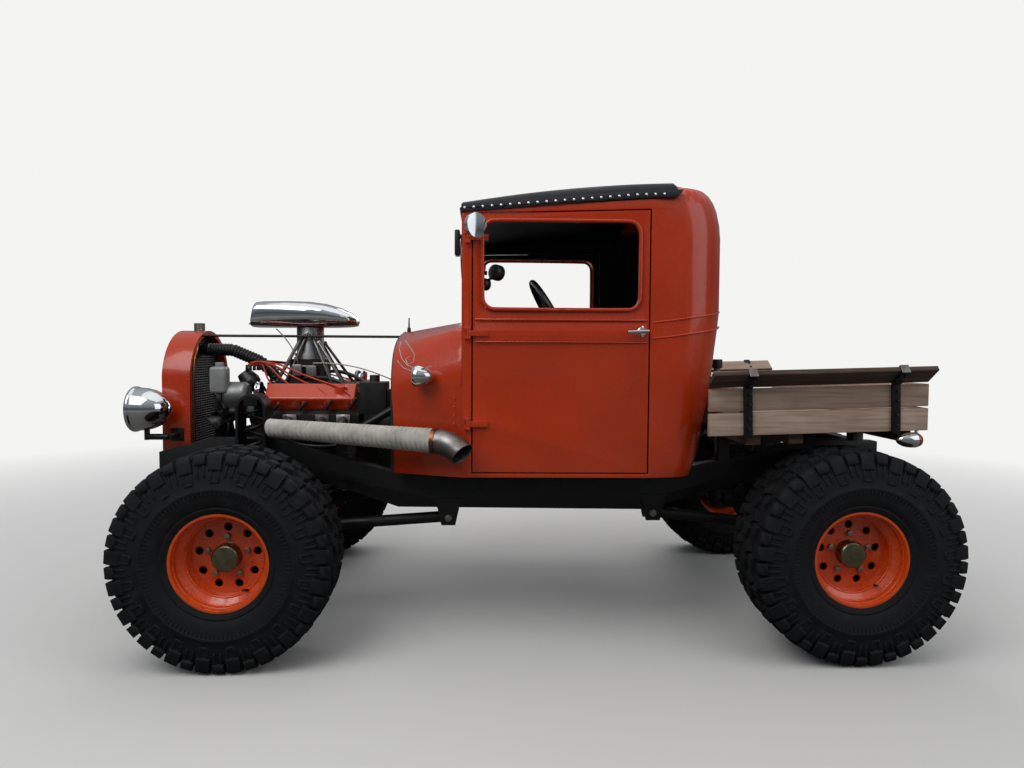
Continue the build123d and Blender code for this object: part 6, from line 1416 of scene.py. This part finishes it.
class HOTROD_OT_bed(bpy.types.Operator):
    """Plank bed: weathered boards with their own tones, flared top boards, bolted stakes, tailgate and tank"""
    bl_idname = "hotrod.bed"
    bl_label = "Plank Bed"

    TILT = tan(radians(1.7))
    FLARE = radians(35)
    STAKES = (0.920, 1.540)
    ROWS = (0.067, 0.127, 0.168)

    def level(self, x, above=0.0):
        """Height of the bed's floor line at a place along it, and above it."""
        return 0.919 + (x - 0.76) * self.TILT + above

    def execute(self, context):
        sides = skin("bed_sides")
        paint(sides, "cross", lambda place, normal: abs(place.y) < 0.774 and 0.9 < place.x < 0.94)
        # Painted shade: faces of the flared top boards that don't face up take the darker pine
        paint(sides, "shade_pine", lambda place, normal:
              place.z > self.level(place.x, 0.197) and abs(place.y) > 0.79 and normal.z < 0.6)
        plank_tones(sides)
        planks = skin("bed_floor")
        # Painted shade: faces below the floor line take the darker pine
        paint(planks, "shade_pine", lambda place, normal: place.z < self.level(place.x, -0.0005))
        paint(planks, "frame", lambda place, normal: abs(abs(place.y) - 0.5) < 0.063 and place.x > 1.57
              and place.z < self.level(place.x, -0.0005))
        plank_tones(planks)
        gate = skin("tailgate")
        paint(gate, "frame", lambda place, normal: place.x > 1.6805 or place.z < self.level(1.68, 0.003))
        plank_tones(gate)
        paint(skin("bed_stakes"), "steel", lambda place, normal: abs(place.y) > 0.868)
        self.bolts()
        paint(skin("fuel_tank"), "plastic", lambda place, normal: place.z > 1.176)
        low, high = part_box("fuel_tank")
        straps = [box((low.x - 0.0005, y - 0.014, self.level(low.x, 0.024)),
                      (high.x + 0.002, y + 0.014, self.level(1.0, 0.2285)), 0.001) for y in (-0.33, 0.33)]
        dress("tank_straps", straps, "frame", "frame_black")
        return {"FINISHED"}

    def bolts(self):
        """Coach bolts through the stakes, the flared boards and the tailgate's straps, and floor screws."""
        rise, run = sin(self.FLARE), cos(self.FLARE)
        heads = []
        for way in WAYS:
            for x in self.STAKES:
                heads += [bolt_head((x, way * 0.812, self.level(x, above)), (0, way, 0), 0.0065)
                          for above in (0.026, *self.ROWS)]
                for along in (0.026, 0.066):
                    y, z = 0.802 + along * run, 0.2 + along * rise
                    heads += [bolt_head((x, way * (y + 0.01 * rise), self.level(x, z - 0.01 * run)),
                                        (0, way * rise, -run), 0.0065),
                              rivet((x, way * (y - 0.022 * rise), self.level(x, z + 0.022 * run)),
                                    (0, -way * rise, run), 0.009)]
        dress("stake_bolts", heads, "frame", "frame_black")
        heads = [bolt_head((1.686, y, self.level(1.68, above)), (1, 0, 0), 0.0065)
                 for y in (-0.5, 0.0, 0.5) for above in (0.03, 0.068, *self.ROWS[1:])]
        dress("gate_bolts", heads, "zinc", "bare_steel", "tailgate")
        gap, boards = 0.004, 9
        width = (1.544 - (boards - 1) * gap) / boards
        spots = [(x, -0.772 + number * (width + gap) + share * width, self.level(x, 0.0222))
                 for x in (1.14, 1.6) for number in range(boards) for share in (0.22, 0.78)]
        dress("floor_screws", copies(rivet((0, 0, 0), (0, 0, 1), 0.0055), spots), "zinc", "bare_steel")


class HOTROD_OT_chassis(bpy.types.Operator):
    """Chassis: rails with rolled edges, axles with bolted covers, arms, gearbox and shafts"""
    bl_idname = "hotrod.chassis"
    bl_label = "Chassis"

    NODES = ("chassis_frame", "crossmembers", "suspension_arms", "front_axle", "rear_axle", "gearbox",
             "steering_column", "cab_floor", "knuckle_left", "knuckle_right", "tie_rod")
    # Ends of both propeller shafts, at the gearbox and at the axle
    SHAFTS = (((-0.15, 0.2, 0.6), (-1.0, 0.2, 0.4575)), ((0.15, 0.2, 0.6), (1.16, 0.2, 0.4575)))
    FILTER = ((0.001, 0), (0.03, 0), (0.036, 0.006), (0.036, 0.06), (0.038, 0.062), (0.038, 0.068), (0.03, 0.074),
              (0.012, 0.078), (0.012, 0.086), (0.001, 0.088))

    def execute(self, context):
        for node in self.NODES:
            skin(node)
        self.covers()
        bolts = []
        for way in WAYS:
            bolts += [bolt_head((x, way * 0.4123, z), (0, way, 0), 0.012, 0.009)
                      for x, z in ((-0.329, 0.493), (0.626, 0.513))]
            bolts += [bolt_head((x, way * 0.5, 0.777), (0, 0, 1), 0.007) for x in (-1.24, -1.14)]
        dress("pivot_bolts", bolts, "zinc", "bare_steel")
        self.joints()
        canister = [ring(0.0372, 0.0022, (-0.788, -0.37, 0.795), (0, 0, 1), 40, 8),
                    turn(self.FILTER, (-0.788, -0.37, 0.764), (0, 0, 1), 40)]
        dress("fuel_filter", canister, "plastic", "plastic")
        return {"FINISHED"}

    def covers(self):
        """Bolted covers on both differentials, away from the shafts."""
        made, bolts = [], []
        for x, way, radius in ((-1.19, -1, 0.118), (1.35, 1, 0.126)):
            place = Vector((x, 0.2, 0.4375))
            rows = ((0.001, radius + 0.012), (0.05, radius + 0.01), (0.078, radius - 0.006), (0.088, radius - 0.028),
                    (0.1, radius - 0.03), (0.1, radius - 0.042), (0.06, radius - 0.05))
            made.append(turn(rows, place, (way, 0, 0), 48))
            for number in range(10):
                turned = 2 * pi / 10 * number
                spot = place + Vector((way * (radius - 0.03), 0.094 * cos(turned), 0.094 * sin(turned)))
                bolts.append(bolt_head(spot, (way, 0, 0), 0.005))
        dress("axle_covers", made, "iron", "cast_iron")
        dress("axle_cover_bolts", bolts, "zinc", "bare_steel")

    def joints(self):
        """Crossed joints at both ends of the propeller shafts, with their grease caps."""
        made = []
        for case, end in self.SHAFTS:
            case, end = Vector(case), Vector(end)
            run = (end - case).normalized()
            for place in (case + run * 0.05, end - run * 0.05):
                for half, radius, width in ((run * 0.03, 0.042, 0.006), (Vector((0, 0.05, 0)), 0.015, 0.002),
                                            (Vector((0, 0, 0.05)), 0.015, 0.002)):
                    made.append(bar(place - half, place + half, radius, width=width))
        dress("shaft_joints", made, "iron", "cast_iron")


class HOTROD_OT_cabin(bpy.types.Operator):
    """Dashboard with white dials in chrome bezels, and the steering wheel"""
    bl_idname = "hotrod.cabin"
    bl_label = "Cabin"

    # Place across the dashboard and radius of each dial
    DIALS = ((-0.35, 0.042), (-0.46, 0.026), (-0.245, 0.026), (-0.185, 0.02))

    def execute(self, context):
        skin("dashboard")
        skin("steering_wheel")
        bezels, faces, needles = [], [], []
        lean = Vector((1, 0, 0.06)).normalized()
        for y, radius in self.DIALS:
            place = Vector((-0.139, y, 1.338))
            bezels.append(turn(((radius, -0.004), (radius + 0.005, 0.0), (radius + 0.004, 0.005), (radius, 0.006),
                                (radius - 0.003, 0.002)), place, lean, 40))
            faces.append(turn(((0.001, 0.001), (radius, 0.001), (radius, -0.003)), place, lean, 40))
            needles.append(box(place + Vector((0.002, -0.001, -0.002)),
                               place + Vector((0.0035, 0.001, radius * 0.8))))
        dress("dial_bezels", bezels, "chrome", "chrome")
        dress("dial_faces", faces, "dial", "plastic")
        dress("dial_needles", needles, "ruby", "plastic")
        return {"FINISHED"}


class HOTROD_OT_lamps(bpy.types.Operator):
    """Marker and tail lamps in chromed shells with pressed lenses, the aerial's peg, post mirror and gauge pods"""
    bl_idname = "hotrod.lamps"
    bl_label = "Small Lamps"

    # Shells and lenses of both kinds of lamp, as radius and distance behind the lamp's front
    SIDE_SHELL = ((0.037, 0.004), (0.041, 0.008), (0.0445, 0.015), (0.046, 0.022), (0.0455, 0.03), (0.04, 0.052),
                  (0.034, 0.068), (0.026, 0.08), (0.014, 0.09), (0.001, 0.096))
    SIDE_LENS = ((0.001, 0.0), (0.015, 0.001), (0.028, 0.0035), (0.037, 0.008), (0.037, 0.012), (0.001, 0.01))
    TAIL_SHELL = ((0.0285, 0.026), (0.031, 0.027), (0.032, 0.03), (0.032, 0.05), (0.0305, 0.065), (0.027, 0.08),
                  (0.019, 0.097), (0.01, 0.106), (0.001, 0.11))
    TAIL_LENS = ((0.001, 0.0), (0.012, 0.0015), (0.021, 0.006), (0.027, 0.014), (0.0295, 0.022), (0.0295, 0.03),
                 (0.001, 0.028))

    def execute(self, context):
        shells, lenses = [], []
        for way in WAYS:
            front, rear = (-0.473, way * 0.6598, 1.157), (1.655, way * 0.8, 0.906)
            lenses += [turn(self.SIDE_LENS, front, (1, 0, 0), 40), turn(self.TAIL_LENS, rear, (-1, 0, 0), 36)]
            shells += [turn(self.SIDE_SHELL, front, (1, 0, 0), 48),
                       bar((-0.427, way * 0.572, 1.157), (-0.427, way * 0.63, 1.157), 0.012, width=0.002),
                       turn(self.TAIL_SHELL, rear, (-1, 0, 0), 40),
                       bar((1.64, way * 0.786, 0.906), (1.64, way * 0.786, 0.9445), 0.007, width=0.001)]
        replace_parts(dress("marker_lamp_shells", shells, "chrome", "chrome", angle=50), "marker_lamps")
        dress("marker_lamp_lenses", lenses, "amber", "glass", angle=60)
        peg = [bar((-0.552, 0.0, 1.383), (-0.552, 0.0, 1.433), 0.0045, 0.003, 16),
               bar((-0.552, 0.0, 1.34), (-0.552, 0.0, 1.383), 0.011, 0.009, 24, 0.002)]
        dress("aerial_peg", peg, "plastic", "plastic")
        mirror = [box((-0.292, -0.668, 1.668), (-0.27, -0.598, 1.774), 0.006, 3),
                  bar((-0.275, -0.652, 1.745), (-0.2615, -0.652, 1.748), 0.009, width=0.001)]
        dress("post_mirror", mirror, "plastic", "plastic")
        pods = [bar((-0.128, -0.618, 1.604), (-0.1, -0.588, 1.6), 0.034, width=0.006),
                bar((-0.178, -0.616, 1.553), (-0.152, -0.594, 1.55), 0.026, width=0.005),
                tube([(-0.236, -0.632, 1.5), (-0.2, -0.63, 1.53), (-0.165, -0.605, 1.552), (-0.114, -0.603, 1.602)],
                     0.007, 3)]
        dress("gauge_pods", pods, "plastic", "plastic")
        return {"FINISHED"}


class HOTROD_PT_panel(bpy.types.Panel):
    """Buttons for each group of pieces, with the sizes and colours behind them"""
    bl_idname = "HOTROD_PT_panel"
    bl_label = "Hot Rod Pickup"
    bl_space_type = "VIEW_3D"
    bl_region_type = "UI"
    bl_category = "Hot Rod"

    def draw(self, context):
        layout = self.layout
        for group in (context.scene.hot_rod_sizes, context.scene.hot_rod_colours):
            column = layout.column(align=True)
            for name in group.bl_rna.properties.keys():
                if name not in ("rna_type", "name"):
                    column.prop(group, name)
        for made in STEPS:
            layout.operator(made.bl_idname)


STEPS = (
    HOTROD_OT_stage,
    HOTROD_OT_finishes,
    HOTROD_OT_wheels,
    HOTROD_OT_tyres,
    HOTROD_OT_springs,
    HOTROD_OT_cab,
    HOTROD_OT_roof,
    HOTROD_OT_glazing,
    HOTROD_OT_seats,
    HOTROD_OT_engine,
    HOTROD_OT_intake,
    HOTROD_OT_exhausts,
    HOTROD_OT_front,
    HOTROD_OT_bed,
    HOTROD_OT_chassis,
    HOTROD_OT_cabin,
    HOTROD_OT_lamps,
)
GROUPS = (HotRodSizes, HotRodColours)


def register():
    for made in (*GROUPS, *STEPS, HOTROD_PT_panel):
        bpy.utils.register_class(made)
    bpy.types.Scene.hot_rod_sizes = bpy.props.PointerProperty(type=HotRodSizes)
    bpy.types.Scene.hot_rod_colours = bpy.props.PointerProperty(type=HotRodColours)


def unregister():
    del bpy.types.Scene.hot_rod_colours
    del bpy.types.Scene.hot_rod_sizes
    for made in reversed((*GROUPS, *STEPS, HOTROD_PT_panel)):
        bpy.utils.unregister_class(made)


def main():
    """Dress the frame, one step after another."""
    register()
    for made in STEPS:
        group, name = made.bl_idname.split(".")
        getattr(getattr(bpy.ops, group), name)()


if __name__ == "__main__":
    main()
